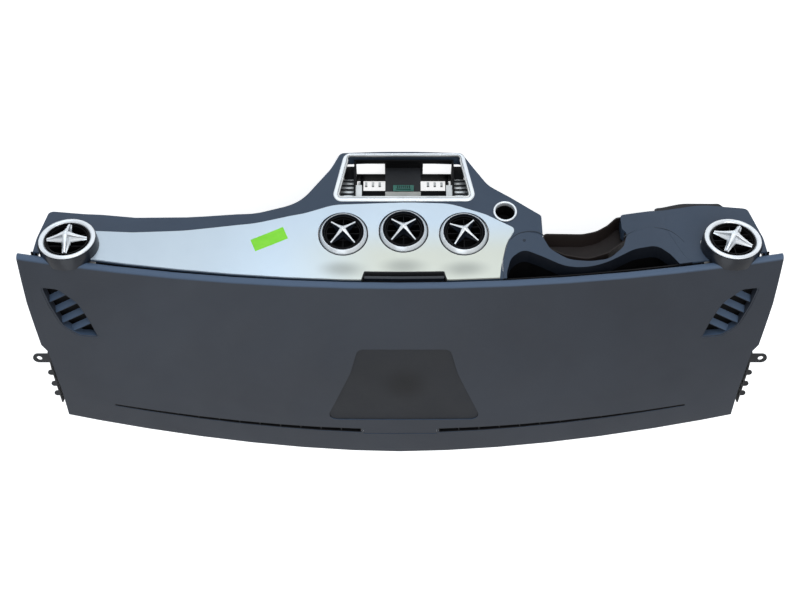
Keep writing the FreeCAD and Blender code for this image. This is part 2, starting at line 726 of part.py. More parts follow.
radio_wire = outline(radio_outline(0.0))
open_wire = outline(RADIO_OPEN)
radio_frame = band(radio_wire, open_wire, -size("frame_stand"), -fit)
radio_frame = radio_frame.fuse(band(grown(open_wire, 2.0), open_wire, -1.0, 4.0))
feature("radio_frame", radio_frame.removeSplitter())

radio_level = (size("radio_top") + size("radio_foot")) / 2
radio_place = face_place(-size("radio_shift"), radio_level)
bay_half = size("radio_foot_half") - size("frame_side") - 8.0
bay_high = (size("radio_foot") - size("radio_top")) / 2 - size("frame_bar")
bay_high = bay_high / math.cos(lean(0.0)) - 2 * fit
bay_wall = size("bay_wall")
bay_depth = size("bay_depth")


def bay_box(left, right, lower, upper, back, front):
    """A box in the bay, given by its sides as seen from the cabin."""
    box = Part.makeBox(right - left, upper - lower, front - back, Vector(left, lower, back))
    box.Placement = radio_place
    return box


bay = bay_box(-bay_half, bay_half, -bay_high, bay_high, -bay_depth, -4.0)
bay = bay.cut(bay_box(-bay_half + bay_wall, bay_half - bay_wall, -bay_high + bay_wall, bay_high - bay_wall,
                      -bay_depth - 1.0, 0.0))
for side in (-1, 1):
    near, far = sorted((side * (bay_half - 30.0), side * (bay_half + 5.0)))
    bay = bay.cut(bay_box(near, far, -bay_high + 14.0, -6.0, -bay_depth + 14.0, -24.0))
    bay = bay.cut(bay_box(near, far, 6.0, bay_high - 14.0, -bay_depth + 14.0, -24.0))
bay_bar = bay_box(-bay_half, bay_half, -5.0, 3.0, -bay_depth, -bay_depth + 8.0)
posts = [bay_box(x - 2.0, x + 2.0, -bay_high, bay_high, -bay_depth, -bay_depth + 16.0) for x in (-92.0, 90.0)]
bay = bay.fuse([bay_bar] + posts)
panel_wire = outline(PANEL)
bay = bay.cut(band(panel_wire, grown(panel_wire, -wall - fit), -1.0, size("flange_depth") + fit))
feature("radio_bay", bay.removeSplitter())

module = bay_box(-34.0, 38.0, -bay_high + bay_wall + fit, bay_high - 6.0, -bay_depth + 8.0 + fit, -32.0)
feature("radio_module", module)
feature("module_connector", bay_box(-18.0, 22.0, -bay_high + 8.0, -bay_high + 20.0, -32.0, -24.0))
for label, side in (("radio_clip_right", 1), ("radio_clip_left", -1)):
    near, far = sorted((side * (bay_half - bay_wall - fit), side * (bay_half - bay_wall - fit - 14.0)))
    clip = bay_box(near, far, 8.0, bay_high - bay_wall - fit, -30.0, -13.0)
    near, far = sorted((side * (bay_half - bay_wall - 2.3), side * (bay_half - 22.0)))
    clip = clip.cut(bay_box(near, far, 0.0, bay_high - 6.0, -40.0, -15.0))
    feature(label, clip)


# Start switch

start_place = face_place(size("start_x"), size("start_level"))
shift_start = Placement(-ORIGIN, Rotation()).multiply(start_place)


def solid(kind, name, **bound):
    """A primitive whose sizes are expressions on the sheet."""
    thing = document.addObject(kind, name)
    for key, expression in bound.items():
        path = key.replace("__", ".")
        thing.setExpression(path, expression)
    return thing


def cylinder(name, radius, height, base="0"):
    """A cylinder along Z from expressions for its radius, its height and its lower end."""
    return solid("Part::Cylinder", name, Radius=radius, Height=height, Placement__Base__z=base)


def joined(name, things):
    whole = document.addObject("Part::MultiFuse", name)
    whole.Shapes = things
    return whole


def without(name, base, tool):
    rest = document.addObject("Part::Cut", name)
    rest.Base = base
    rest.Tool = tool
    return rest


def finish(thing, label, place):
    """Names a sub-part and sets it in its place."""
    thing.Label = label
    thing.Placement = Placement(-ORIGIN, Rotation()).multiply(place)
    PIECES.append(thing)


ring = joined("start_ring_body", [
    cylinder("start_ring_flange", cell("start_ring_radius"), "3.4", f"4 * {cell('fit')}"),
    cylinder("start_ring_neck", f"{cell('start_bore')} + 2", "10", "-7"),
])
start_ring = without("start_ring_cut", ring, cylinder("start_ring_bore", cell("start_bore"), "40", "-20"))
finish(start_ring, "start_ring", start_place)
socket = without(
    "start_socket_cut",
    cylinder("start_socket_outside", f"{cell('start_bore')} + 2", cell("start_depth"), f"-7 - {cell('start_depth')}"),
    cylinder("start_socket_inside", cell("start_bore"), cell("start_depth"), f"-5 - {cell('start_depth')}"),
)
finish(socket, "start_socket", start_place)


# Air vents: housing, bright ring, gimbal ring, nozzle with its vanes and the grip

def make_vent(name, x, level, kind, turn):
    place = face_place(x, level)
    bore = cell(kind + "_bore")
    ring_radius = cell(kind + "_ring")
    rim = cell(kind + "_rim")
    reach = cell(kind + "_reach")
    pivot = cell(kind + "_pivot")
    neck = f"({reach} - {cell('ring_height')})"

    foot = cylinder(name + "_foot", rim, "14", "-11")
    cone = solid("Part::Cone", name + "_cone", Radius1=rim, Radius2=f"{ring_radius} + 0.5",
                 Height=f"{neck} - 3", Placement__Base__z="3")
    barrel = cylinder(name + "_barrel", f"{bore} + {cell('barrel_wall')}", f"{cell('barrel_depth')} - 11",
                      f"-{cell('barrel_depth')}")
    hole = cylinder(name + "_hole", bore, "200", "-100")
    body = joined(name + "_housing_body", [foot, cone, barrel])
    if kind == "end":
        tucked = document.addObject("Part::Feature", name + "_lip_clearance")
        sleeve = Part.makeCylinder(size(kind + "_bore") + size("barrel_wall"), 200.0, Vector(0, 0, -100.0))
        lip = pad_solid(-fit)
        lip.Placement = place.inverse()
        tucked.Shape = lip.cut(sleeve)
        body = without(name + "_housing_tucked", body, tucked)
    housing = without(name + "_housing_cut", body, hole)
    finish(housing, name + "_housing", place)

    base = cylinder(name + "_ring_base", ring_radius, f"{cell('ring_height')} - 1.6", neck)
    crest = solid("Part::Cone", name + "_ring_crest", Radius1=ring_radius, Radius2=f"{ring_radius} - 2",
                  Height="1.6", Placement__Base__z=f"{reach} - 1.6")
    mouth = solid("Part::Cone", name + "_ring_mouth", Radius1=f"{bore} + 0.3", Radius2=f"{bore} + 4",
                  Height=cell("ring_height"), Placement__Base__z=neck)
    bezel = without(name + "_bezel_cut", joined(name + "_bezel_body", [base, crest]), mouth)
    finish(bezel, name + "_bezel", place)

    ball = f"({bore} - {cell('ball_gap')})"
    gimbal_radius = f"sqrt({ball} ^ 2 - {cell('gimbal_half')} ^ 2)"
    inner = f"({gimbal_radius} - {cell('gimbal_wall')})"
    zone = cylinder(name + "_gimbal_ring", gimbal_radius, f"2 * {cell('gimbal_half')}",
                    f"{pivot} - {cell('gimbal_half')}")
    gimbal_hole = cylinder(name + "_gimbal_hole", inner, "60", f"{pivot} - 30")
    pins = []
    for side in (1, -1):
        pin = cylinder(f"{name}_gimbal_pin_{side + 2}", cell("pin_radius"),
                       f"{bore} - {cell('ball_gap')} / 2 - {inner} - 0.5")
        start = f"{inner} + 0.5" if side > 0 else f"-{inner} - 0.5"
        pin.setExpression("Placement.Base.x", start)
        pin.setExpression("Placement.Base.z", pivot)
        pin.Placement = Placement(pin.Placement.Base, Rotation(Vector(0, 1, 0), side * 90.0))
        pins.append(pin)
    ring_cut = without(name + "_gimbal_cut", zone, gimbal_hole)
    finish(joined(name + "_gimbal_body", [ring_cut] + pins), name + "_gimbal", place)

    core = f"({inner} - {cell('ball_gap')})"
    nozzle_radius = f"sqrt({core} ^ 2 - {cell('nozzle_back')} ^ 2)"
    lining = f"({nozzle_radius} - {cell('nozzle_wall')})"
    core_ring = cylinder(name + "_nozzle_outside", nozzle_radius,
                         f"{cell('nozzle_back')} + {cell('nozzle_front')}",
                         f"{pivot} - {cell('nozzle_back')}")
    core_hole = cylinder(name + "_nozzle_hole", lining, "60", f"{pivot} - 30")
    nozzle_parts = [without(name + "_nozzle_ring", core_ring, core_hole)]
    deep = f"({cell('nozzle_back')} + {cell('nozzle_front')} - 3)"
    for index, step in enumerate((-1, 0, 1)):
        offset = f"({step} * {cell('vane_pitch')})"
        half = f"(sqrt(({lining} + 0.5) ^ 2 - {offset} ^ 2))"
        vane = solid("Part::Box", f"{name}_vane_{index + 1}", Length=f"2 * {half}", Width=cell("vane_wall"),
                     Height=deep, Placement__Base__x=f"-1 * {half}",
                     Placement__Base__y=f"{offset} - {cell('vane_wall')} / 2",
                     Placement__Base__z=f"{pivot} - {cell('nozzle_back')} + 1.5")
        nozzle_parts.append(vane)
    web_half = f"({lining} + 0.5)"
    nozzle_parts.append(solid(
        "Part::Box", name + "_web", Length=cell("vane_wall"), Width=f"2 * {web_half}", Height=deep,
        Placement__Base__x=f"-{cell('vane_wall')} / 2", Placement__Base__y=f"-1 * {web_half}",
        Placement__Base__z=f"{pivot} - {cell('nozzle_back')} + 1.5",
    ))
    nozzle_parts.append(cylinder(name + "_hub", cell("hub_radius"),
                                 f"{cell('nozzle_back')} + {cell('nozzle_front')}",
                                 f"{pivot} - {cell('nozzle_back')}"))
    for side in (1, -1):
        pin = cylinder(f"{name}_nozzle_pin_{side + 2}", cell("pin_radius"),
                       f"{inner} - {cell('ball_gap')} / 2 - {lining} - 0.5")
        start = f"{lining} + 0.5" if side > 0 else f"-{lining} - 0.5"
        pin.setExpression("Placement.Base.y", start)
        pin.setExpression("Placement.Base.z", pivot)
        pin.Placement = Placement(pin.Placement.Base, Rotation(Vector(1, 0, 0), -side * 90.0))
        nozzle_parts.append(pin)
    stem_hole = cylinder(name + "_stem_hole", f"{cell('stem_radius')} + {cell('stem_gap')}", "60", f"{pivot} - 30")
    nozzle = without(name + "_nozzle_cut", joined(name + "_nozzle_body", nozzle_parts), stem_hole)
    finish(nozzle, name + "_nozzle", place)

    lift = f"({pivot} + {cell('grip_lift')})"
    peak = f"({pivot} + {cell('grip_peak')})"
    arms = []
    for index in range(4):
        arm = solid(
            "Part::Wedge", f"{name}_arm_{index + 1}",
            Ymin="0", Ymax=f"{core} - 1.4", Xmin=f"-{cell('grip_root')}", Xmax=cell("grip_root"),
            X2min=f"-{cell('grip_tip')}", X2max=cell("grip_tip"),
            Zmin=lift, Zmax=f"{peak} - 1.5", Z2min=lift, Z2max=f"{lift} + 3",
        )
        arm.Placement = Placement(Vector(0, 0, 0), Rotation(Vector(0, 0, 1), turn + 90.0 * index))
        arms.append(arm)
    arms.append(solid("Part::Cone", name + "_boss", Radius1=f"{cell('hub_radius')} + 1", Radius2="3",
                      Height=f"{peak} - {lift}", Placement__Base__z=lift))
    arms.append(cylinder(name + "_stem", cell("stem_radius"), f"{cell('grip_lift')} + {cell('nozzle_back')} + 1",
                         f"{pivot} - {cell('nozzle_back')}"))
    finish(joined(name + "_grip_body", arms), name + "_grip", place)


for vent in VENTS:
    make_vent(*vent)


# Paper label on the trim

label_wire = Part.makePolygon([Vector(-34, 0, -13), Vector(34, 0, -13), Vector(34, 0, 13), Vector(-34, 0, 13),
                               Vector(-34, 0, -13)])
label_wire.rotate(Vector(0, 0, 0), Vector(0, 1, 0), -25)
label_wire.translate(Vector(254, 0, -95))
feature("stock_label", face_slab(trim_front - 0.35, trim_front - 0.05).common(prism(label_wire)))


# Brackets at both ends, with their fixing holes

def end_bracket(side):
    plate_x = size("notch_half") + fit
    thick = size("bracket_wall")
    back = size("bracket_back")
    level = -size("bracket_level")
    half = size("bracket_width") / 2
    reach = size("notch_half") + 8.0 + size("bracket_reach")
    plate = Part.makeBox(thick, 150.0, 46.0, Vector(plate_x, back - 16.0, level - 46.0))
    slope = Part.makeBox(40.0, 220.0, 60.0, Vector(plate_x - 20.0, back + 30.0, level))
    slope.rotate(Vector(plate_x, back + 30.0, level), Vector(1, 0, 0), -8)
    tongue = Part.makeBox(reach - plate_x - half, 2 * half, thick, Vector(plate_x, back - half, level - thick))
    tip = Part.makeCylinder(half, thick, Vector(reach - half, back, level - thick))
    hole_at = Vector(size("bracket_hole_x"), back, level - 20.0)
    hole = Part.makeCylinder(size("bracket_hole"), 40.0, hole_at)
    lobes = []
    for place, drop in ((46.0, 8.0), (80.0, 12.0), (110.0, 16.0)):
        lobe = Part.makeBox(9.0, 12.0, thick, Vector(plate_x, back + place - 6.0, level - drop - thick))
        lobes.append(lobe)
        lobes.append(Part.makeCylinder(6.0, thick, Vector(plate_x + 9.0, back + place, level - drop - thick)))
    bracket = plate.fuse([tongue, tip] + lobes).cut([hole, slope])
    if side < 0:
        bracket = bracket.mirror(Vector(0, 0, 0), Vector(1, 0, 0))
    return bracket.removeSplitter()


feature("end_bracket_passenger", end_bracket(1))
feature("end_bracket_driver", end_bracket(-1))



# Checks and files

document.recompute()
os.makedirs("parts", exist_ok=True)
for thing in document.Objects:
    if "Invalid" in thing.State or "Error" in thing.State:
        raise RuntimeError(f"{thing.Name} is {thing.State}")
for piece in PIECES:
    if piece.Shape.isNull() or not piece.Shape.isValid() or not piece.Shape.Solids:
        raise RuntimeError(f"{piece.Label} has no sound shape")
for piece in PIECES:
    piece.Shape.exportStep(os.path.join("parts", piece.Label + ".step"))
print(len(PIECES), "pieces,", sum(len(piece.Shape.tessellate(0.3)[1]) for piece in PIECES), "facets")
for piece in PIECES:
    if len(piece.Shape.Solids) != 1:
        print(piece.Label, len(piece.Shape.Solids), "solids")
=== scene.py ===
import math

import bmesh
import bpy
from mathutils import Matrix, Vector


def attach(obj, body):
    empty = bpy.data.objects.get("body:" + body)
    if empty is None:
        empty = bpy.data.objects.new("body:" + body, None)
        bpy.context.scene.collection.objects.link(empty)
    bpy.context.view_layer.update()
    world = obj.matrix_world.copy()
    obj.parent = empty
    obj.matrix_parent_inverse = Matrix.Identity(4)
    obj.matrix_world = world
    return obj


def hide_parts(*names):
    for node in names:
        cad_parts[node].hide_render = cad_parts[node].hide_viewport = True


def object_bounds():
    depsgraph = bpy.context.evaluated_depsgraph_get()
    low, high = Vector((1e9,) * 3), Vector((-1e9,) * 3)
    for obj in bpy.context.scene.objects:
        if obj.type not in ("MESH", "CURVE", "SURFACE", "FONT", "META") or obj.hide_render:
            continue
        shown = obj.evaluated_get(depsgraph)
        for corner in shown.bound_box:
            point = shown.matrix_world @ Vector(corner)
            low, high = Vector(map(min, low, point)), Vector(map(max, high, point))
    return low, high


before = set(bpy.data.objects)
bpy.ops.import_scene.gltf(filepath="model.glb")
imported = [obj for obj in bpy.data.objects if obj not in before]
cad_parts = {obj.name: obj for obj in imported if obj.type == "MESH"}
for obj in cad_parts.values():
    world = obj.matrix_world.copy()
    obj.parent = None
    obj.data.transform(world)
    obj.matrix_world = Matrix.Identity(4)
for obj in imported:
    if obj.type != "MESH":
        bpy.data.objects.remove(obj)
cad_low, cad_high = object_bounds()

# Outlines are drawn in millimetres from a zero point 8 mm in front of the middle of the pad's lip and level with
# its top. ZERO is the frame's own origin, seen from that point.
MM = 0.001
ZERO = Vector((0.0, 205.0, -19.0))
HALF_SPAN = 700.0
LIP_SWEEP = 62.0
LIP_RADIUS = 9.0
PAD_DEPTH = 485.0
SCREEN_SWEEP = 100.0
CROWN = 10.0
FACE_SETBACK = 9.6
LEAN_MIDDLE, LEAN_END = 24.0, 10.0
LEAN_INNER, LEAN_OUTER = 220.0, 580.0


def lip_line(x):
    """Front line of the face, which reaches further into the cabin towards the ends."""
    return -LIP_SWEEP * (x / HALF_SPAN) ** 2


def screen_line(x):
    """Windscreen edge of the pad."""
    return PAD_DEPTH - SCREEN_SWEEP * (abs(x) / HALF_SPAN) ** 1.75


def crown_line(x):
    """Fall of the pad towards the ends."""
    return -CROWN * (x / HALF_SPAN) ** 2


def lean(x):
    """Lean of the cabin face, even in the middle and easing towards the ends."""
    share = min(max((abs(x) - LEAN_INNER) / (LEAN_OUTER - LEAN_INNER), 0.0), 1.0)
    share = share * share * (3 - 2 * share)
    return math.radians(LEAN_MIDDLE - (LEAN_MIDDLE - LEAN_END) * share)


def face_line(x, z):
    """Where the cabin face lies at a place along the car and a level."""
    return lip_line(x) + FACE_SETBACK - (-2 * LIP_RADIUS - z) * math.tan(lean(x))


def spot(x, y, z):
    """A point in metres in the frame of the part."""
    return (Vector((x, y, z)) - ZERO) * MM


def face_place(x, level):
    """Stands a shape drawn in millimetres square to the cabin face."""
    upright = Matrix.Rotation(math.pi / 2 - lean(x), 4, "X")
    foot = Matrix.Translation(spot(x, face_line(x, -level), -level))
    return foot @ upright @ Matrix.Diagonal((MM, MM, MM, 1.0))


# Finishes

def tone(red, green, blue):
    """A colour as the eye names it, 0 to 255, in the renderer's own scale."""
    made = []
    for value in (red, green, blue):
        share = value / 255.0
        made.append(share / 12.92 if share < 0.04045 else ((share + 0.055) / 1.055) ** 2.4)
    return (*made, 1.0)


def wire(tree, start, end):
    """Links two sockets."""
    tree.links.new(start, end)


def node(tree, kind, **values):
    """A node with its inputs and settings."""
    made = tree.nodes.new(kind)
    for key, value in values.items():
        if key in made.inputs:
            made.inputs[key].default_value = value
        else:
            setattr(made, key, value)
    return made


def moulded(name, dark, light, roughness, grain, depth, metallic=0.0, coat=0.0, mottle=6.0, spread=0.10,
            specular=0.5):
    """A moulding or metal with two close tones, a grain and slightly uneven gloss."""
    material = bpy.data.materials.new(name)
    material.use_nodes = True
    tree = material.node_tree
    shader = tree.nodes["Principled BSDF"]
    shader.inputs["Metallic"].default_value = metallic
    shader.inputs["Coat Weight"].default_value = coat
    shader.inputs["Coat Roughness"].default_value = 0.12
    shader.inputs["Specular IOR Level"].default_value = specular
    place = node(tree, "ShaderNodeTexCoord")
    clouds = node(tree, "ShaderNodeTexNoise", Scale=mottle, Detail=5.0, Roughness=0.6)
    wire(tree, place.outputs["Object"], clouds.inputs["Vector"])
    tones = node(tree, "ShaderNodeValToRGB")
    tones.color_ramp.elements[0].position = 0.32
    tones.color_ramp.elements[0].color = dark
    tones.color_ramp.elements[1].position = 0.68
    tones.color_ramp.elements[1].color = light
    wire(tree, clouds.outputs["Fac"], tones.inputs["Fac"])
    wire(tree, tones.outputs["Color"], shader.inputs["Base Color"])
    smudges = node(tree, "ShaderNodeTexNoise", Scale=mottle * 3.7, Detail=4.0)
    wire(tree, place.outputs["Object"], smudges.inputs["Vector"])
    gloss = node(tree, "ShaderNodeMapRange")
    gloss.inputs["To Min"].default_value = max(0.03, roughness - spread)
    gloss.inputs["To Max"].default_value = min(1.0, roughness + spread)
    wire(tree, smudges.outputs["Fac"], gloss.inputs["Value"])
    wire(tree, gloss.outputs["Result"], shader.inputs["Roughness"])
    if grain:
        cells = node(tree, "ShaderNodeTexVoronoi", Scale=grain)
        fine = node(tree, "ShaderNodeTexNoise", Scale=grain * 1.7, Detail=3.0)
        wire(tree, place.outputs["Object"], cells.inputs["Vector"])
        wire(tree, place.outputs["Object"], fine.inputs["Vector"])
        heights = node(tree, "ShaderNodeMath", operation="ADD")
        wire(tree, cells.outputs["Distance"], heights.inputs[0])
        wire(tree, fine.outputs["Fac"], heights.inputs[1])
        bump = node(tree, "ShaderNodeBump", Distance=0.0004)
        bump.inputs["Strength"].default_value = depth
        wire(tree, heights.outputs["Value"], bump.inputs["Height"])
        wire(tree, bump.outputs["Normal"], shader.inputs["Normal"])
    return material


PAD_SKIN = moulded("grained_pad_skin", tone(45, 49, 57), tone(52, 57, 66), 0.50, 900.0, 0.25, mottle=3.0,
                   specular=0.28)
FACE_TONES = tone(50, 63, 80), tone(58, 72, 90)
FACE = moulded("blue_grey_face", *FACE_TONES, 0.46, 1100.0, 0.22, mottle=4.0, specular=0.32)
# Copy of the face finish that gets painted shade inside the instrument rim.
FACE_PAINTED_SHADE = moulded("blue_grey_face_painted_shade", *FACE_TONES, 0.46, 1100.0, 0.22, mottle=4.0, specular=0.32)
CHROME = moulded("satin_chrome", tone(222, 227, 232), tone(236, 239, 242), 0.26, 0.0, 0.0, metallic=0.45,
                 mottle=9.0, spread=0.06)
SMOKED = moulded("dark_vent_blade", tone(16, 20, 27), tone(26, 32, 42), 0.30, 0.0, 0.0, mottle=9.0, coat=0.1,
                 specular=0.3)
BLACK = moulded("black_moulding", tone(22, 23, 26), tone(30, 31, 34), 0.52, 1000.0, 0.3, mottle=9.0,
                specular=0.25)
# Painted shade: a darker, duller copy of the black moulding for parts inside openings and under the pad.
BLACK_PAINTED_SHADE = moulded("black_moulding_painted_shade", tone(9, 9, 11), tone(15, 15, 17), 0.6, 700.0, 0.3, mottle=11.0,
               specular=0.12)
SHADE = moulded("shaded_blue_grey_line", tone(30, 39, 51), tone(36, 46, 60), 0.5, 0.0, 0.0, mottle=8.0,
                specular=0.3)
BROWN = moulded("dark_brown_wall", tone(27, 22, 21), tone(37, 30, 28), 0.55, 900.0, 0.3, mottle=8.0,
                specular=0.2)
COVER = moulded("speaker_cover_mesh", tone(33, 35, 39), tone(40, 42, 47), 0.55, 1400.0, 0.8, mottle=5.0,
                specular=0.25)
COATED = moulded("black_coated_steel", tone(22, 23, 26), tone(38, 39, 42), 0.42, 500.0, 0.3, metallic=0.5,
                 mottle=20.0)
STEEL = moulded("bare_pressed_steel", tone(176, 178, 178), tone(206, 206, 204), 0.34, 0.0, 0.0, metallic=0.6,
                mottle=24.0)
GREEN = moulded("green_connector", tone(16, 92, 80), tone(28, 112, 94), 0.35, 0.0, 0.0, mottle=40.0)
PALE = moulded("pale_moulding", tone(170, 168, 160), tone(196, 192, 184), 0.45, 0.0, 0.0, mottle=30.0)
LABEL = moulded("green_label_paper", tone(142, 236, 58), tone(158, 246, 76), 0.6, 300.0, 0.15, mottle=30.0,
                specular=0.3)


def span(tree, start, end, low, high):
    """Turns one range of a value softly into another."""
    made = node(tree, "ShaderNodeMapRange", interpolation_type="SMOOTHSTEP")
    for key, value in (("From Min", start), ("From Max", end), ("To Min", low), ("To Max", high)):
        made.inputs[key].default_value = value
    return made


def blended(tree, share, first, second):
    """Mixes a second plain colour into the first one."""
    made = node(tree, "ShaderNodeMix", data_type="RGBA")
    ends = [socket for socket in made.inputs if socket.type == "RGBA"]
    ends[1].default_value = second
    wire(tree, share, made.inputs["Factor"])
    wire(tree, first, ends[0])
    return [socket for socket in made.outputs if socket.type == "RGBA"][0]


def coloured_by(material):
    """A finish's node tree, its colour socket and the socket that feeds it."""
    tree = material.node_tree
    colour = tree.nodes["Principled BSDF"].inputs["Base Color"]
    return tree, colour, colour.links[0].from_socket


def paint_light_and_shade_by_facing(material, direction, start, end, colour, most=1.0):
    """Paints light or shade into a finish: takes it towards a second colour where the surface faces a direction.
    """
    tree, base, before = coloured_by(material)
    place = node(tree, "ShaderNodeTexCoord")
    across = node(tree, "ShaderNodeVectorMath", operation="DOT_PRODUCT")
    across.inputs[1].default_value = direction
    wire(tree, place.outputs["Normal"], across.inputs[0])
    share = span(tree, start, end, 0.0, most)
    wire(tree, across.outputs["Value"], share.inputs["Value"])
    wire(tree, blended(tree, share.outputs["Result"], before, colour), base)


def clouded(material, middle, reach, colour, most):
    """Lays one soft round cloud of another colour over a finish."""
    tree, base, before = coloured_by(material)
    place = node(tree, "ShaderNodeTexCoord")
    centred = node(tree, "ShaderNodeMapping", vector_type="TEXTURE")
    centred.inputs["Location"].default_value = middle
    centred.inputs["Scale"].default_value = reach
    wire(tree, place.outputs["Object"], centred.inputs["Vector"])
    far = node(tree, "ShaderNodeVectorMath", operation="LENGTH")
    wire(tree, centred.outputs["Vector"], far.inputs[0])
    share = span(tree, 0.1, 1.2, most, 0.0)
    wire(tree, far.outputs["Value"], share.inputs["Value"])
    wire(tree, blended(tree, share.outputs["Result"], before, colour), base)


# The lip of the pad gets a painted highlight, the inside of the instrument rim painted shade, and the cover is
# darkest in its middle.
TO_CABIN = (0.0, -0.94, 0.34)
OUT_OF_FACE = (0.0, -math.cos(math.radians(22.0)), math.sin(math.radians(22.0)))
# Painted highlight: paler blue-grey where the pad faces the cabin, along its lip.
paint_light_and_shade_by_facing(PAD_SKIN, TO_CABIN, 0.35, 0.85, tone(84, 102, 126), 0.9)
# Painted shade: darker where the rim's inner walls turn away from the cabin face.
paint_light_and_shade_by_facing(FACE_PAINTED_SHADE, OUT_OF_FACE, 0.85, 0.35, tone(16, 21, 30))
clouded(COVER, (-0.010, 0.059, 0.01), (0.050, 0.050, 1.0), tone(17, 18, 21), 0.85)


def satin_lacquer():
    """Silver lacquer with painted reflection: cool at the passenger end and warm by the vents, with a soft dark
    painted reflection over each vent.
    """
    material = moulded("satin_silver_lacquer", tone(186, 200, 212), tone(196, 209, 219), 0.30, 0.0, 0.0,
                       metallic=0.35, coat=0.25, mottle=3.0, spread=0.05)
    tree, base, before = coloured_by(material)
    place = node(tree, "ShaderNodeTexCoord")
    parts = node(tree, "ShaderNodeSeparateXYZ")
    wire(tree, place.outputs["Object"], parts.inputs[0])
    # Painted reflection: masks that shift the silver from its cool tone to a warm one.
    along = span(tree, 0.26, 0.02, 0.0, 1.0)
    wire(tree, parts.outputs["X"], along.inputs["Value"])
    rise = span(tree, -0.125, -0.045, 0.0, 1.0)
    wire(tree, parts.outputs["Z"], rise.inputs["Value"])
    share = node(tree, "ShaderNodeMath", operation="MULTIPLY")
    wire(tree, along.outputs["Result"], share.inputs[0])
    wire(tree, rise.outputs["Result"], share.inputs[1])
    painted_reflection_tint = blended(tree, share.outputs[0], before, tone(196, 197, 184))
    wire(tree, painted_reflection_tint, base)
    # Painted reflection of each vent as a soft dark cloud.
    for x, level in ((0.111, -0.020), (-0.007, -0.027), (-0.125, -0.020)):
        clouded(material, (x, 0.0, level), (0.050, 10.0, 0.019), tone(120, 122, 116), 0.55)
    return material


SILVER = satin_lacquer()


# Making pieces

def settle(name, mesh, material, body="dashboard", stands_for=(), angle=32.0):
    """Puts a finished mesh in the scene on its body."""
    made = bpy.data.objects.new(name, mesh)
    bpy.context.scene.collection.objects.link(made)
    if material is not None:
        mesh.materials.clear()
        mesh.materials.append(material)
    for face in mesh.polygons:
        face.use_smooth = True
    mesh.set_sharp_from_angle(angle=math.radians(angle))
    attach(made, body)
    if stands_for:
        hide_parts(*stands_for)
    return made


def from_bmesh(name, shape):
    """A mesh with its faces turned outwards."""
    mesh = bpy.data.meshes.new(name)
    bmesh.ops.recalc_face_normals(shape, faces=shape.faces)
    shape.to_mesh(mesh)
    shape.free()
    return mesh


def smoothed(label, material, body="dashboard", angle=28.0):
    """The solid's own form with its facets shaded as one skin."""
    shape = bmesh.new()
    shape.from_mesh(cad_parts[label].data)
    bmesh.ops.remove_doubles(shape, verts=shape.verts, dist=0.00001)
    mesh = bpy.data.meshes.new(label + "_skin")
    shape.to_mesh(mesh)
    shape.free()
    for extra in [a.name for a in mesh.attributes if a.name in ("custom_normal", "sharp_edge", "sharp_face")]:
        mesh.attributes.remove(mesh.attributes[extra])
    return settle(label + "_skin", mesh, material, body, (label,), angle)


def rounded(points, radius, steps=4):
    """A closed outline with its corners rounded."""
    made = []
    for index, point in enumerate(points):
        here = Vector(point)
        before = Vector(points[index - 1]) - here
        after = Vector(points[(index + 1) % len(points)]) - here
        reach = min(radius, before.length * 0.45, after.length * 0.45)
        start = here + before.normalized() * reach
        end = here + after.normalized() * reach
        for step in range(steps + 1):
            share = step / steps
            made.append(start * (1 - share) ** 2 + here * 2 * share * (1 - share) + end * share ** 2)
    return made


def skin(shape, one, two):
    """A band of faces between two closed rows of points."""
    for index in range(len(one)):
        following = (index + 1) % len(one)
        shape.faces.new((one[index], one[following], two[following], two[index]))


def turned(name, profile, place, material, body="dashboard", stands_for=(), steps=96, angle=40.0):
    """A closed profile of (radius, height) swept once round."""
    shape = bmesh.new()
    rings = []
    for step in range(steps):
        around = 2 * math.pi * step / steps
        points = [place @ Vector((r * math.cos(around), r * math.sin(around), z)) for r, z in profile]
        rings.append([shape.verts.new(point) for point in points])
    for one, two in zip(rings, rings[1:] + rings[:1]):
        skin(shape, one, two)
    return settle(name, from_bmesh(name, shape), material, body, stands_for, angle)


def lofted(shape, sections):
    """Skins a row of closed sections and closes both ends."""
    rows = [[shape.verts.new(point) for point in section] for section in sections]
    for one, two in zip(rows[:-1], rows[1:]):
        skin(shape, one, two)
    shape.faces.new(list(reversed(rows[0])))
    shape.faces.new(rows[-1])


# Air vents

# Name, place along the car, level below the zero point, kind and turn of the grip in degrees.
VENTS = (
    ("passenger_vent", 632.0, 56.0, "end", 3.0),
    ("centre_vent_right", 111.0, 112.0, "centre", 45.0),
    ("centre_vent_middle", -7.0, 119.5, "centre", 45.0),
    ("centre_vent_left", -125.0, 112.0, "centre", 55.0),
    ("driver_vent", -632.0, 56.0, "end", 60.0),
)
# Outer radius, bore, height out of the face, arm of the grip and height of the pivot, by kind.
RING = {"centre": 46.5, "end": 54.0}
BORE = {"centre": 38.0, "end": 42.5}
REACH = {"centre": 11.0, "end": 20.6}
ARM = {"centre": 33.2, "end": 37.7}
PIVOT = {"centre": 2.0, "end": 12.0}
# Half widths of an arm at its tip, at the crest and at the foot.
CREST_HALF = {"centre": 1.5, "end": 2.1}
FOOT_HALF = {"centre": 2.6, "end": 4.2}


def bright_ring(name, place, kind):
    """Bright ring: a steep bright side on the centre vents, a broad flat face on the end vents."""
    outer, bore, reach = RING[kind], BORE[kind], REACH[kind]
    neck = reach - 4.6
    if kind == "centre":
        profile = [(outer - 4.0, 0.6), (outer, 0.6), (outer, 2.6), (bore + 3.6, reach), (bore + 2.8, reach)]
    else:
        profile = [(bore + 0.4, neck), (outer - 1.0, neck), (outer - 0.6, neck + 2.4), (outer - 4.0, reach),
                   (bore + 4.6, reach), (bore + 1.6, neck + 2.0)]
    turned(name + "_bright_ring", rounded(profile, 1.4), place, CHROME,
           stands_for=(name + "_bezel",))


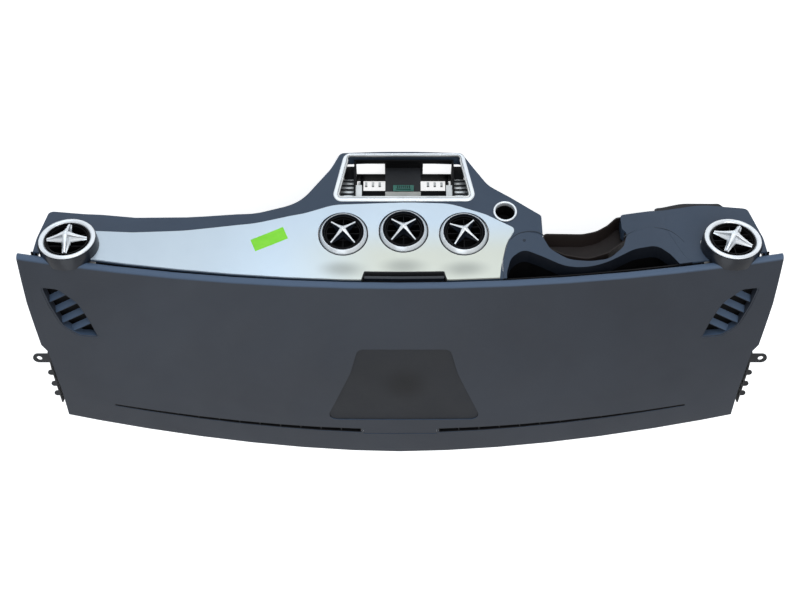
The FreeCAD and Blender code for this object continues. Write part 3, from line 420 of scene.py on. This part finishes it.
def arm_outline(part, kind, share):
    """Section of an arm of the grip, from its root at share 0 to its tip at share 1."""
    lift = PIVOT[kind] + 4.6
    crest = PIVOT[kind] + 8.2 + 17.6 * (1 - share) ** 1.2
    top = CREST_HALF[kind] + 3.0 * (1 - share) ** 2.4
    base = FOOT_HALF[kind] + 7.0 * (1 - share) ** 1.3
    if part == "crest":
        return [(-top, crest - 1.6), (-top * 0.8, crest - 0.5), (0.0, crest), (top * 0.8, crest - 0.5),
                (top, crest - 1.6)]
    deep = crest - 1.1
    outline = [(-base, lift), (-base, lift + 0.8)]
    for rise in (0.2, 0.45, 0.7, 1.0):
        width = top * 0.92 + (base - top) * (1 - rise) ** 2.2
        outline.append((-width, lift + 0.8 + (deep - lift - 0.8) * rise))
    return outline + [(-x, z) for x, z in reversed(outline)]


def cross_grip(name, place, kind, turn, root=0.4, steps=14):
    """Four arms with hollow flanks that rise to a small crown in the middle."""
    for part, material in (("crest", CHROME), ("flank", SMOKED if kind == "centre" else CHROME)):
        shape = bmesh.new()
        for quarter in range(4):
            around = math.radians(turn + 90.0 * quarter)
            ahead = Vector((-math.sin(around), math.cos(around), 0.0))
            aside = Vector((math.cos(around), math.sin(around), 0.0))
            sections = []
            for step in range(steps + 1):
                share = step / steps
                out = root + (ARM[kind] - root) * share
                outline = arm_outline(part, kind, share)
                sections.append([place @ (ahead * out + aside * x + Vector((0, 0, z))) for x, z in outline])
            lofted(shape, sections)
        label = f"{name}_grip_{part}"
        stands_for = (name + "_grip",) if part == "flank" else ()
        settle(label, from_bmesh(label, shape), material, name + "_grip", stands_for, 50.0)


def vent_pod(name, place, kind):
    """Dark pod that flares from the face and lines the bright ring."""
    outer, bore, reach = RING[kind], BORE[kind], REACH[kind]
    rim = outer + 2.3
    flare = [(bore + 2.6, -42.0), (bore + 2.6, -11.0), (rim, -11.0), (rim, 0.2), (rim - 1.0, 0.9),
             (outer - 4.4, 0.9), (bore + 2.4, reach - 0.6), (bore + 1.4, reach + 0.2), (bore + 0.3, reach - 3.0),
             (bore, reach - 5.0), (bore, -42.0)]
    turned(name + "_pod", rounded(flare, 1.0, 3), place, SMOKED,
           stands_for=(name + "_housing",))


def duct_boot(name, place, kind):
    """Closed dark duct behind the vent."""
    bore = BORE[kind]
    profile = [(0.01, -70.0), (bore - 6.0, -70.0), (bore + 1.8, -60.0), (bore + 2.4, -43.0), (bore + 0.4, -42.2),
               (bore - 1.0, -58.0), (bore - 8.0, -67.0), (0.01, -67.5)]
    turned(name + "_duct", rounded(profile, 1.0, 2), place, BLACK_PAINTED_SHADE, steps=48)


for name, x, level, kind, turn in VENTS:
    place = face_place(x, level)
    bright_ring(name, place, kind)
    cross_grip(name, place, kind, turn)
    if kind == "centre":
        vent_pod(name, place, kind)
    else:
        smoothed(name + "_housing", SMOKED)
    duct_boot(name, place, kind)
    smoothed(name + "_gimbal", BLACK_PAINTED_SHADE, name + "_gimbal")
    smoothed(name + "_nozzle", BLACK_PAINTED_SHADE, name + "_nozzle")


# Frames and ducts that follow an outline

# Leaf shaped outlet at the side window as (x, y, corner radius), and the windscreen slot beside it.
LEAF = ((688, 15, 6), (654, 19, 24), (620, 52, 60), (603, 100, 60), (593, 141, 5), (634, 138, 24),
        (664, 112, 40), (680, 60, 60))
SLOT_START, SLOT_LENGTH, SLOT_HALF, SLOT_BACK = 70.0, 535.0, 9.0, 75.0

# Radio frame as (x, level, corner radius), and its two bars as (outwards, out of the face).
RADIO_FRAME = [(-152.5, -181.0, 16.0), (136.5, -181.0, 16.0), (113.0, -287.0, 16.0), (-129.0, -287.0, 16.0)]
OUTER_BAR = [(0.0, -0.2), (0.0, 1.6), (-1.6, 3.0), (-4.6, 3.0), (-6.2, 1.6), (-6.2, -0.2)]
INNER_BAR = [(-6.4, -3.0), (-6.4, 0.4), (-7.2, 1.6), (-8.8, 1.6), (-9.4, 0.4), (-9.4, -3.0)]
WIDTHS = {"sides": 1.3, "high": 1.3, "low": 0.6}


def round_path(points, steps=8):
    """A closed outline of (x, level, corner radius) points with its corners rounded."""
    made = []
    for index, (x, z, radius) in enumerate(points):
        here = Vector((x, z))
        before = (Vector(points[index - 1][:2]) - here).normalized()
        after = (Vector(points[(index + 1) % len(points)][:2]) - here).normalized()
        half = math.acos(max(-1.0, min(1.0, before.dot(after)))) / 2
        if radius <= 0:
            made.append(here)
            continue
        middle = here + (before + after).normalized() * (radius / math.sin(half))
        start = here + before * (radius / math.tan(half))
        end = here + after * (radius / math.tan(half))
        first = math.atan2(start.y - middle.y, start.x - middle.x)
        last = math.atan2(end.y - middle.y, end.x - middle.x)
        sweep = (last - first + math.pi) % (2 * math.pi) - math.pi
        for step in range(steps + 1):
            turn = first + sweep * step / steps
            made.append(middle + Vector((math.cos(turn), math.sin(turn))) * radius)
    return made


def outward(path):
    """Unit normals of a closed path, away from its inside."""
    area = sum(path[i - 1].x * path[i].y - path[i].x * path[i - 1].y for i in range(len(path)))
    sign = 1.0 if area > 0 else -1.0
    made = []
    for index in range(len(path)):
        along = path[(index + 1) % len(path)] - path[index - 1]
        made.append(Vector((along.y, -along.x)).normalized() * sign)
    return made


def face_frame(name, points, profile, material, slot, stands_for=(), sides=1.0, high=1.0, low=1.0):
    """A closed profile of (outwards, out of the face) carried round an outline on the cabin face."""
    path = round_path(points)
    normals = outward(path)
    shape = bmesh.new()
    rings = []
    for place, normal in zip(path, normals):
        ring = []
        swell = sides * normal.x ** 2 + (high if normal.y > 0 else low) * normal.y ** 2
        for aside, ahead in profile:
            x = place.x + normal.x * aside * swell
            z = place.y + normal.y * aside * swell
            tilt = lean(x)
            forward = face_line(x, z) - ahead * math.cos(tilt)
            ring.append(shape.verts.new(spot(x, forward, z + ahead * math.sin(tilt))))
        rings.append(ring)
    for one, two in zip(rings, rings[1:] + rings[:1]):
        skin(shape, one, two)
    settle(name, from_bmesh(name, shape), material, stands_for=stands_for, angle=45.0)


face_frame("radio_frame_outer_bar", RADIO_FRAME, rounded(OUTER_BAR, 0.9, 3), CHROME, "bright_trim",
           ("radio_frame",), **WIDTHS)
face_frame("radio_frame_inner_bar", RADIO_FRAME, rounded(INNER_BAR, 0.5, 3), STEEL, "bright_trim", **WIDTHS)


def duct_under(name, points, high, low, grow=0.0):
    """A closed dark duct under an opening in the pad, from its outline in plan."""
    path = round_path(points, 5)
    if grow:
        path = [p + normal * grow + Vector((0.0, grow)) for p, normal in zip(path, outward(path))]
    shape = bmesh.new()
    rows = []
    for level in (high, low):
        rows.append([shape.verts.new(spot(p.x, p.y, level + crown_line(p.x))) for p in path])
    skin(shape, *rows)
    for end in rows:
        shape.faces.new(end)
    settle(name, from_bmesh(name, shape), BLACK_PAINTED_SHADE)


for side, where in ((1, "passenger"), (-1, "driver")):
    duct_under("side_defroster_duct_" + where, [(side * x, y, r) for x, y, r in LEAF], -24.0, -40.0, 8.0)
    slot = []
    for edge in (-SLOT_HALF, SLOT_HALF):
        run = []
        for step in range(7):
            x = SLOT_START + SLOT_LENGTH * step / 6
            line = screen_line(x) - SLOT_BACK + 6.0 * max(0.0, x - 82.0) / 514.0
            run.append((side * x, line + edge, 0.0))
        slot += run if edge < 0 else run[::-1]
    duct_under("windscreen_duct_" + where, slot, -38.0, -54.0)


# Radio bay

BAY = face_place(-8.0, 234.0)


def blocks(name, place, boxes, material, stands_for=(), edge=0.5):
    """Square pieces with softened edges in one mesh, each given by two corners in millimetres."""
    shape = bmesh.new()
    for low, high in boxes:
        low, high = Vector(low), Vector(high)
        for vert in bmesh.ops.create_cube(shape, size=1.0)["verts"]:
            vert.co = Vector([low[i] + (high[i] - low[i]) * (vert.co[i] + 0.5) for i in range(3)])
    bmesh.ops.bevel(shape, geom=shape.edges[:], offset=edge, segments=2, profile=0.5, affect="EDGES",
                    clamp_overlap=True)
    bmesh.ops.transform(shape, matrix=place, verts=shape.verts)
    return settle(name, from_bmesh(name, shape), material, stands_for=stands_for, angle=40.0)


def row_tree():
    """Bars of one size spaced evenly along a line and set square to it."""
    tree = bpy.data.node_groups.new("row_of_bars", "GeometryNodeTree")
    sockets = {}
    for label, kind in (("Line", "NodeSocketGeometry"), ("Count", "NodeSocketInt"), ("Size", "NodeSocketVector"),
                        ("Finish", "NodeSocketMaterial")):
        sockets[label] = tree.interface.new_socket(label, in_out="INPUT", socket_type=kind).identifier
    tree.interface.new_socket("Bars", in_out="OUTPUT", socket_type="NodeSocketGeometry")
    start = tree.nodes.new("NodeGroupInput")
    end = tree.nodes.new("NodeGroupOutput")
    curve = tree.nodes.new("GeometryNodeMeshToCurve")
    even = tree.nodes.new("GeometryNodeResampleCurve")
    along = tree.nodes.new("GeometryNodeInputTangent")
    square = tree.nodes.new("FunctionNodeAlignRotationToVector")
    square.axis = "X"
    bar = tree.nodes.new("GeometryNodeMeshCube")
    spread = tree.nodes.new("GeometryNodeInstanceOnPoints")
    real = tree.nodes.new("GeometryNodeRealizeInstances")
    finish = tree.nodes.new("GeometryNodeSetMaterial")
    wire(tree, start.outputs["Line"], curve.inputs["Mesh"])
    wire(tree, curve.outputs["Curve"], even.inputs["Curve"])
    wire(tree, start.outputs["Count"], even.inputs["Count"])
    wire(tree, even.outputs["Curve"], spread.inputs["Points"])
    wire(tree, along.outputs["Tangent"], square.inputs["Vector"])
    wire(tree, square.outputs["Rotation"], spread.inputs["Rotation"])
    wire(tree, start.outputs["Size"], bar.inputs["Size"])
    wire(tree, bar.outputs["Mesh"], spread.inputs["Instance"])
    wire(tree, spread.outputs["Instances"], real.inputs["Geometry"])
    wire(tree, real.outputs["Geometry"], finish.inputs["Geometry"])
    wire(tree, start.outputs["Finish"], finish.inputs["Material"])
    wire(tree, finish.outputs["Geometry"], end.inputs["Bars"])
    return tree, sockets


ROW, ROW_SOCKETS = row_tree()


def bars(name, place, line, count, size, material):
    """A row of equal bars along a line."""
    mesh = bpy.data.meshes.new(name + "_line")
    mesh.from_pydata(line, [(i, i + 1) for i in range(len(line) - 1)], [])
    guide = bpy.data.objects.new(name + "_line", mesh)
    bpy.context.scene.collection.objects.link(guide)
    modifier = guide.modifiers.new("row", "NODES")
    modifier.node_group = ROW
    modifier[ROW_SOCKETS["Count"]] = count
    modifier[ROW_SOCKETS["Size"]] = size
    modifier[ROW_SOCKETS["Finish"]] = material
    ready = guide.evaluated_get(bpy.context.evaluated_depsgraph_get())
    made = bpy.data.meshes.new_from_object(ready)
    guide.modifiers.remove(modifier)
    bpy.data.objects.remove(guide)
    made.transform(place)
    return settle(name, made, None)


# Half width and half height of the bay's mouth, and its depth.
SIDE, HIGH, DEPTH = 101.0, 49.0, 82.0
blocks("radio_bay_shell", BAY, [
    ((-SIDE, HIGH - 2.0, -DEPTH), (SIDE, HIGH, -6.0)),
    ((-SIDE, -HIGH, -18.0), (SIDE, -HIGH + 2.0, -6.0)),
    ((-SIDE, -HIGH, -DEPTH), (SIDE, -HIGH + 2.0, -57.0)),
    ((-39.0, -HIGH, -57.0), (39.0, -HIGH + 2.0, -18.0)),
    ((-SIDE, -HIGH, -DEPTH), (-SIDE + 4.0, HIGH, -6.0)),
    ((SIDE - 4.0, -HIGH, -DEPTH), (SIDE, HIGH, -6.0)),
    ((-SIDE, -20.0, -DEPTH), (SIDE, 4.0, -DEPTH + 6.0)),
    ((-SIDE, 30.0, -DEPTH), (SIDE, HIGH, -DEPTH + 6.0)),
    ((-92.0, -HIGH, -DEPTH), (-86.0, HIGH, -DEPTH + 16.0)),
    ((84.0, -HIGH, -DEPTH), (90.0, HIGH, -DEPTH + 16.0)),
], BLACK_PAINTED_SHADE, ("radio_bay",))
blocks("radio_bay_side_liners", BAY, [
    ((-134.0, -12.0, -34.0), (-SIDE, HIGH, -30.0)),
    ((SIDE, -12.0, -34.0), (134.0, HIGH, -30.0)),
    ((-122.0, -HIGH, -34.0), (-SIDE, -12.0, -30.0)),
    ((SIDE, -HIGH, -34.0), (122.0, -12.0, -30.0)),
], BLACK_PAINTED_SHADE)
for side, where in ((1, "right"), (-1, "left")):
    middle = 114.0 * side
    blocks("bay_side_plate_" + where, BAY, [
        ((middle - 15.0, -14.0, -29.0), (middle + 15.0, 36.0, -26.0)),
    ], STEEL)
    bars("bay_side_plate_ribs_" + where, BAY, [(middle, -9.0, -25.2), (middle, 32.0, -25.2)], 5,
         (3.4, 27.0, 2.4), BLACK)
    bars("bay_back_clips_" + where, BAY, [(side * 50.0, -31.0, -70.0), (side * 92.0, -31.0, -70.0)], 4,
         (5.0, 9.0, 5.0), STEEL)
blocks("module_connector_body", BAY, [
    ((-20.0, -1.0, -32.0), (22.0, 13.0, -26.0)),
    ((-14.0, 2.0, -26.0), (16.0, 10.0, -22.5)),
], GREEN, ("module_connector",))
bars("module_connector_ways", BAY, [(-11.0, 6.0, -22.0), (13.0, 6.0, -22.0)], 7, (1.6, 5.0, 1.6), BLACK_PAINTED_SHADE)
blocks("module_base_strip", BAY, [((-34.0, 15.0, -32.0), (38.0, 26.0, -26.0))], PALE)


# Walls and small features round the instrument opening

def well(name, points, front, back, wall, material, stands_for=()):
    """An open tray behind the cabin face that follows an outline."""
    path = round_path(points, 6)
    inner = [p - normal * wall for p, normal in zip(path, outward(path))]
    shape = bmesh.new()

    def row(line, behind):
        return [shape.verts.new(spot(p.x, face_line(p.x, p.y) + behind, p.y)) for p in line]

    rows = [row(path, back), row(path, front), row(inner, front), row(inner, back - wall)]
    for one, two in zip(rows[:-1], rows[1:]):
        skin(shape, one, two)
    for end in (rows[0], rows[-1]):
        shape.faces.new(end)
    bmesh.ops.triangulate(shape, faces=[face for face in shape.faces if len(face.verts) > 4])
    settle(name, from_bmesh(name, shape), material, stands_for=stands_for, angle=35.0)


well("column_wall_tray", [
    (-278.6, -84.0, 4.0), (-278.6, -111.0, 8.0), (-356.0, -110.0, 60.0), (-384.0, -117.0, 50.0),
    (-406.0, -131.0, 40.0), (-426.0, -151.0, 14.0), (-441.0, -154.0, 4.0), (-441.0, -96.0, 8.0),
    (-402.0, -66.0, 14.0), (-362.0, -54.0, 40.0), (-318.0, -64.0, 40.0),
], 3.0, 34.0, 2.5, BROWN, ("column_wall",))
blocks("column_seat", face_place(-331.0, 62.0), [((-13.0, -6.0, -32.0), (11.0, 2.0, -24.0))], PALE)


def bead(name, points, radius, material, rise=0.9, steps=8):
    """A fine raised line on the cabin face through the given points."""
    path = []
    for one, two, three in zip(points[:-2], points[1:-1], points[2:]):
        start = (Vector(one) + Vector(two)) / 2 if one != points[0] else Vector(one)
        end = (Vector(two) + Vector(three)) / 2 if three != points[-1] else Vector(three)
        for step in range(steps):
            share = step / steps
            path.append(start * (1 - share) ** 2 + Vector(two) * 2 * share * (1 - share) + end * share ** 2)
    path.append(Vector(points[-1]))
    sections = []
    for index, here in enumerate(path):
        along = path[min(index + 1, len(path) - 1)] - path[max(index - 1, 0)]
        normal = Vector((along.y, -along.x)).normalized()
        section = []
        for step in range(steps):
            turn = 2 * math.pi * step / steps
            x = here.x + normal.x * radius * math.cos(turn)
            z = here.y + normal.y * radius * math.cos(turn)
            section.append(spot(x, face_line(x, z) - rise * math.sin(turn), z))
        sections.append(section)
    shape = bmesh.new()
    lofted(shape, sections)
    settle(name, from_bmesh(name, shape), material, angle=60.0)


bead("surround_bead_outer", [
    (-434.0, -99.0), (-446.0, -110.0), (-474.0, -121.0), (-505.0, -122.0), (-534.0, -108.0), (-548.0, -78.0),
], 1.0, SHADE)
bead("surround_bead_inner", [
    (-216.0, -98.0), (-226.0, -109.0), (-250.0, -114.0), (-272.0, -112.0), (-280.0, -104.0),
], 1.0, SHADE)
for name, x, level, radius, material in (
    ("surround_hole", -487.0, 90.0, 3.4, BLACK_PAINTED_SHADE),
    ("surround_dimple", -241.7, 95.0, 3.0, SHADE),
):
    turned(name, [(0.01, -0.6), (radius, -0.6), (radius, 0.35), (radius - 0.5, 0.6), (0.01, 0.4)],
           face_place(x, level), material, steps=32)


# The strip lies this far below the pad and behind the face; then its own depth, thickness and step.
STRIP_DROP, STRIP_BEHIND = 18.6, 2.8
STRIP_DEEP, STRIP_THICK, STRIP_STEP = 13.0, 3.0, 24


def closing_strip(name, first, last):
    """Dark strip that closes the joint between the face and the underside of the lip."""
    steps = max(2, int(abs(last - first) / STRIP_STEP))
    corners = ((0.0, 0.0), (STRIP_DEEP, 0.0), (STRIP_DEEP, -STRIP_THICK), (0.0, -STRIP_THICK))
    sections = []
    for step in range(steps + 1):
        x = first + (last - first) * step / steps
        level = crown_line(x) - STRIP_DROP
        front = face_line(x, level) + STRIP_BEHIND
        sections.append([spot(x, front + behind, level + above) for behind, above in corners])
    shape = bmesh.new()
    lofted(shape, sections)
    settle(name, from_bmesh(name, shape), BLACK_PAINTED_SHADE)


for name, first, last in (
    ("closing_strip_middle", -577.0, 577.0),
    ("closing_strip_passenger", 687.0, 698.0),
    ("closing_strip_driver", -698.0, -687.0),
):
    closing_strip(name, first, last)


# Start switch

START_RING = [(18.9, -7.0), (20.6, -7.0), (20.6, 1.2), (23.5, 1.2), (23.5, 2.6), (22.4, 4.2), (20.2, 4.2),
              (18.9, 2.4)]
turned("start_ring_thin", rounded(START_RING, 0.8, 3), face_place(-207.0, 156.0), CHROME,
       stands_for=("start_ring",))


# Mouldings that keep the form of their solids

for label, material, slot in (
    ("top_pad", PAD_SKIN, "pad_skin"),
    ("speaker_cover", COVER, "speaker_mesh"),
    ("defroster_centre_cover", PAD_SKIN, "panel_plastic"),
    ("defroster_grille_passenger", BLACK, "black_plastic"),
    ("defroster_grille_driver", BLACK, "black_plastic"),
    ("side_defroster_passenger", PAD_SKIN, "pad_skin"),
    ("side_defroster_driver", PAD_SKIN, "pad_skin"),
    ("lower_panel", FACE, "panel_plastic"),
    ("driver_panel", FACE, "panel_plastic"),
    ("trim_panel", SILVER, "silver_trim"),
    ("cluster_surround", FACE_PAINTED_SHADE, "panel_plastic"),
    ("cluster_housing", BLACK_PAINTED_SHADE, "black_plastic"),
    ("light_switch_box", BLACK, "black_plastic"),
    ("display_tray", BLACK, "black_plastic"),
    ("display_flap", SMOKED, "gloss_black"),
    ("radio_module", BLACK, "black_plastic"),
    ("radio_clip_right", STEEL, "bay_steel"),
    ("radio_clip_left", STEEL, "bay_steel"),
    ("start_socket", BLACK_PAINTED_SHADE, "black_plastic"),
    ("stock_label", LABEL, "label_green"),
    ("end_bracket_passenger", COATED, "bracket_black"),
    ("end_bracket_driver", COATED, "bracket_black"),
):
    smoothed(label, material)


# Floor, light and camera

def pale_floor():
    """Pale matt floor that looks white and keeps the shadow."""
    material = bpy.data.materials.new("pale_floor")
    material.use_nodes = True
    tree = material.node_tree
    tree.nodes.clear()
    soft = node(tree, "ShaderNodeBsdfDiffuse", Color=(0.86, 0.86, 0.86, 1.0))
    glow = node(tree, "ShaderNodeEmission", Color=(1.0, 1.0, 1.0, 1.0), Strength=0.80)
    both = node(tree, "ShaderNodeAddShader")
    path = node(tree, "ShaderNodeLightPath")
    seen = node(tree, "ShaderNodeMath", operation="MAXIMUM")
    pick = node(tree, "ShaderNodeMixShader")
    end = node(tree, "ShaderNodeOutputMaterial")
    weak = node(tree, "ShaderNodeBsdfDiffuse", Color=(0.62, 0.62, 0.62, 1.0))
    wire(tree, soft.outputs[0], both.inputs[0])
    wire(tree, glow.outputs[0], both.inputs[1])
    wire(tree, path.outputs["Is Camera Ray"], seen.inputs[0])
    wire(tree, path.outputs["Is Glossy Ray"], seen.inputs[1])
    wire(tree, seen.outputs[0], pick.inputs["Fac"])
    wire(tree, weak.outputs[0], pick.inputs[1])
    wire(tree, both.outputs[0], pick.inputs[2])
    wire(tree, pick.outputs[0], end.inputs["Surface"])
    return material


def floor():
    """A level floor 4 mm under the part."""
    mesh = bpy.data.meshes.new("floor")
    low = cad_low.z - 0.004
    far = 30.0
    corners = [(-far, -far, low), (far, -far, low), (far, far, low), (-far, far, low)]
    mesh.from_pydata(corners, [], [(0, 1, 2, 3)])
    mesh.materials.append(pale_floor())
    made = bpy.data.objects.new("floor", mesh)
    bpy.context.scene.collection.objects.link(made)


def daylight():
    """Soft even light with a white background."""
    world = bpy.data.worlds.new("white_studio")
    bpy.context.scene.world = world
    world.use_nodes = True
    tree = world.node_tree
    tree.nodes.clear()
    dim = node(tree, "ShaderNodeBackground", Color=(0.90, 0.95, 1.0, 1.0), Strength=0.42)
    white = node(tree, "ShaderNodeBackground", Color=(1.0, 1.0, 1.0, 1.0), Strength=1.0)
    path = node(tree, "ShaderNodeLightPath")
    seen = node(tree, "ShaderNodeMath", operation="MAXIMUM")
    through = node(tree, "ShaderNodeMath", operation="MAXIMUM")
    pick = node(tree, "ShaderNodeMixShader")
    end = node(tree, "ShaderNodeOutputWorld")
    wire(tree, path.outputs["Is Camera Ray"], seen.inputs[0])
    wire(tree, path.outputs["Is Glossy Ray"], seen.inputs[1])
    wire(tree, seen.outputs[0], through.inputs[0])
    wire(tree, path.outputs["Is Transmission Ray"], through.inputs[1])
    wire(tree, through.outputs[0], pick.inputs["Fac"])
    wire(tree, dim.outputs[0], pick.inputs[1])
    wire(tree, white.outputs[0], pick.inputs[2])
    wire(tree, pick.outputs[0], end.inputs["Surface"])


def lamp(name, where, aim, side, power, colour):
    """A soft round lamp."""
    data = bpy.data.lights.new(name, "AREA")
    data.shape = "DISK"
    data.size = side
    data.energy = power
    data.color = colour
    made = bpy.data.objects.new(name, data)
    made.location = where
    made.rotation_euler = (Vector(aim) - Vector(where)).to_track_quat("-Z", "Y").to_euler()
    bpy.context.scene.collection.objects.link(made)


# The photograph's camera: sight in pixels of a picture 800 wide, height in degrees and distance in metres. Its
# aim lies 17 pixels, at 527 to the metre, above the zero point.
SIGHT, PICTURE_WIDTH, SENSOR = 1173.0, 800.0, 36.0
ELEVATION, DISTANCE, AIM_RISE = 52.0, 2.224, 17.0 / 527.0


def camera():
    """The camera of the photograph, turned by half a turn."""
    tilt = math.radians(ELEVATION)
    aim = Vector((0.0, AIM_RISE * math.sin(tilt), AIM_RISE * math.cos(tilt))) - ZERO * MM
    back = Vector((0.0, -math.cos(tilt), math.sin(tilt)))
    data = bpy.data.cameras.new("camera")
    data.sensor_width = SENSOR
    data.lens = SIGHT / PICTURE_WIDTH * SENSOR
    made = bpy.data.objects.new("camera", data)
    bpy.context.scene.collection.objects.link(made)
    right = Vector((-1.0, 0.0, 0.0))
    up = back.cross(right)
    held = Matrix((right, up, back)).transposed().to_4x4()
    made.matrix_world = Matrix.Translation(aim + back * DISTANCE) @ held
    bpy.context.scene.camera = made


floor()
daylight()
lamp("key", (-1.2, -1.6, 2.6), (0, 0, -0.05), 2.2, 26.0, (1.0, 0.98, 0.95))
lamp("sky", (0.6, 1.4, 2.6), (0, 0, -0.05), 2.6, 20.0, (0.86, 0.93, 1.0))
lamp("horizon", (0.3, -3.4, 0.7), (0, 0, -0.1), 2.6, 34.0, (0.72, 0.86, 1.0))
camera()

bpy.context.scene.view_settings.view_transform = "Standard"
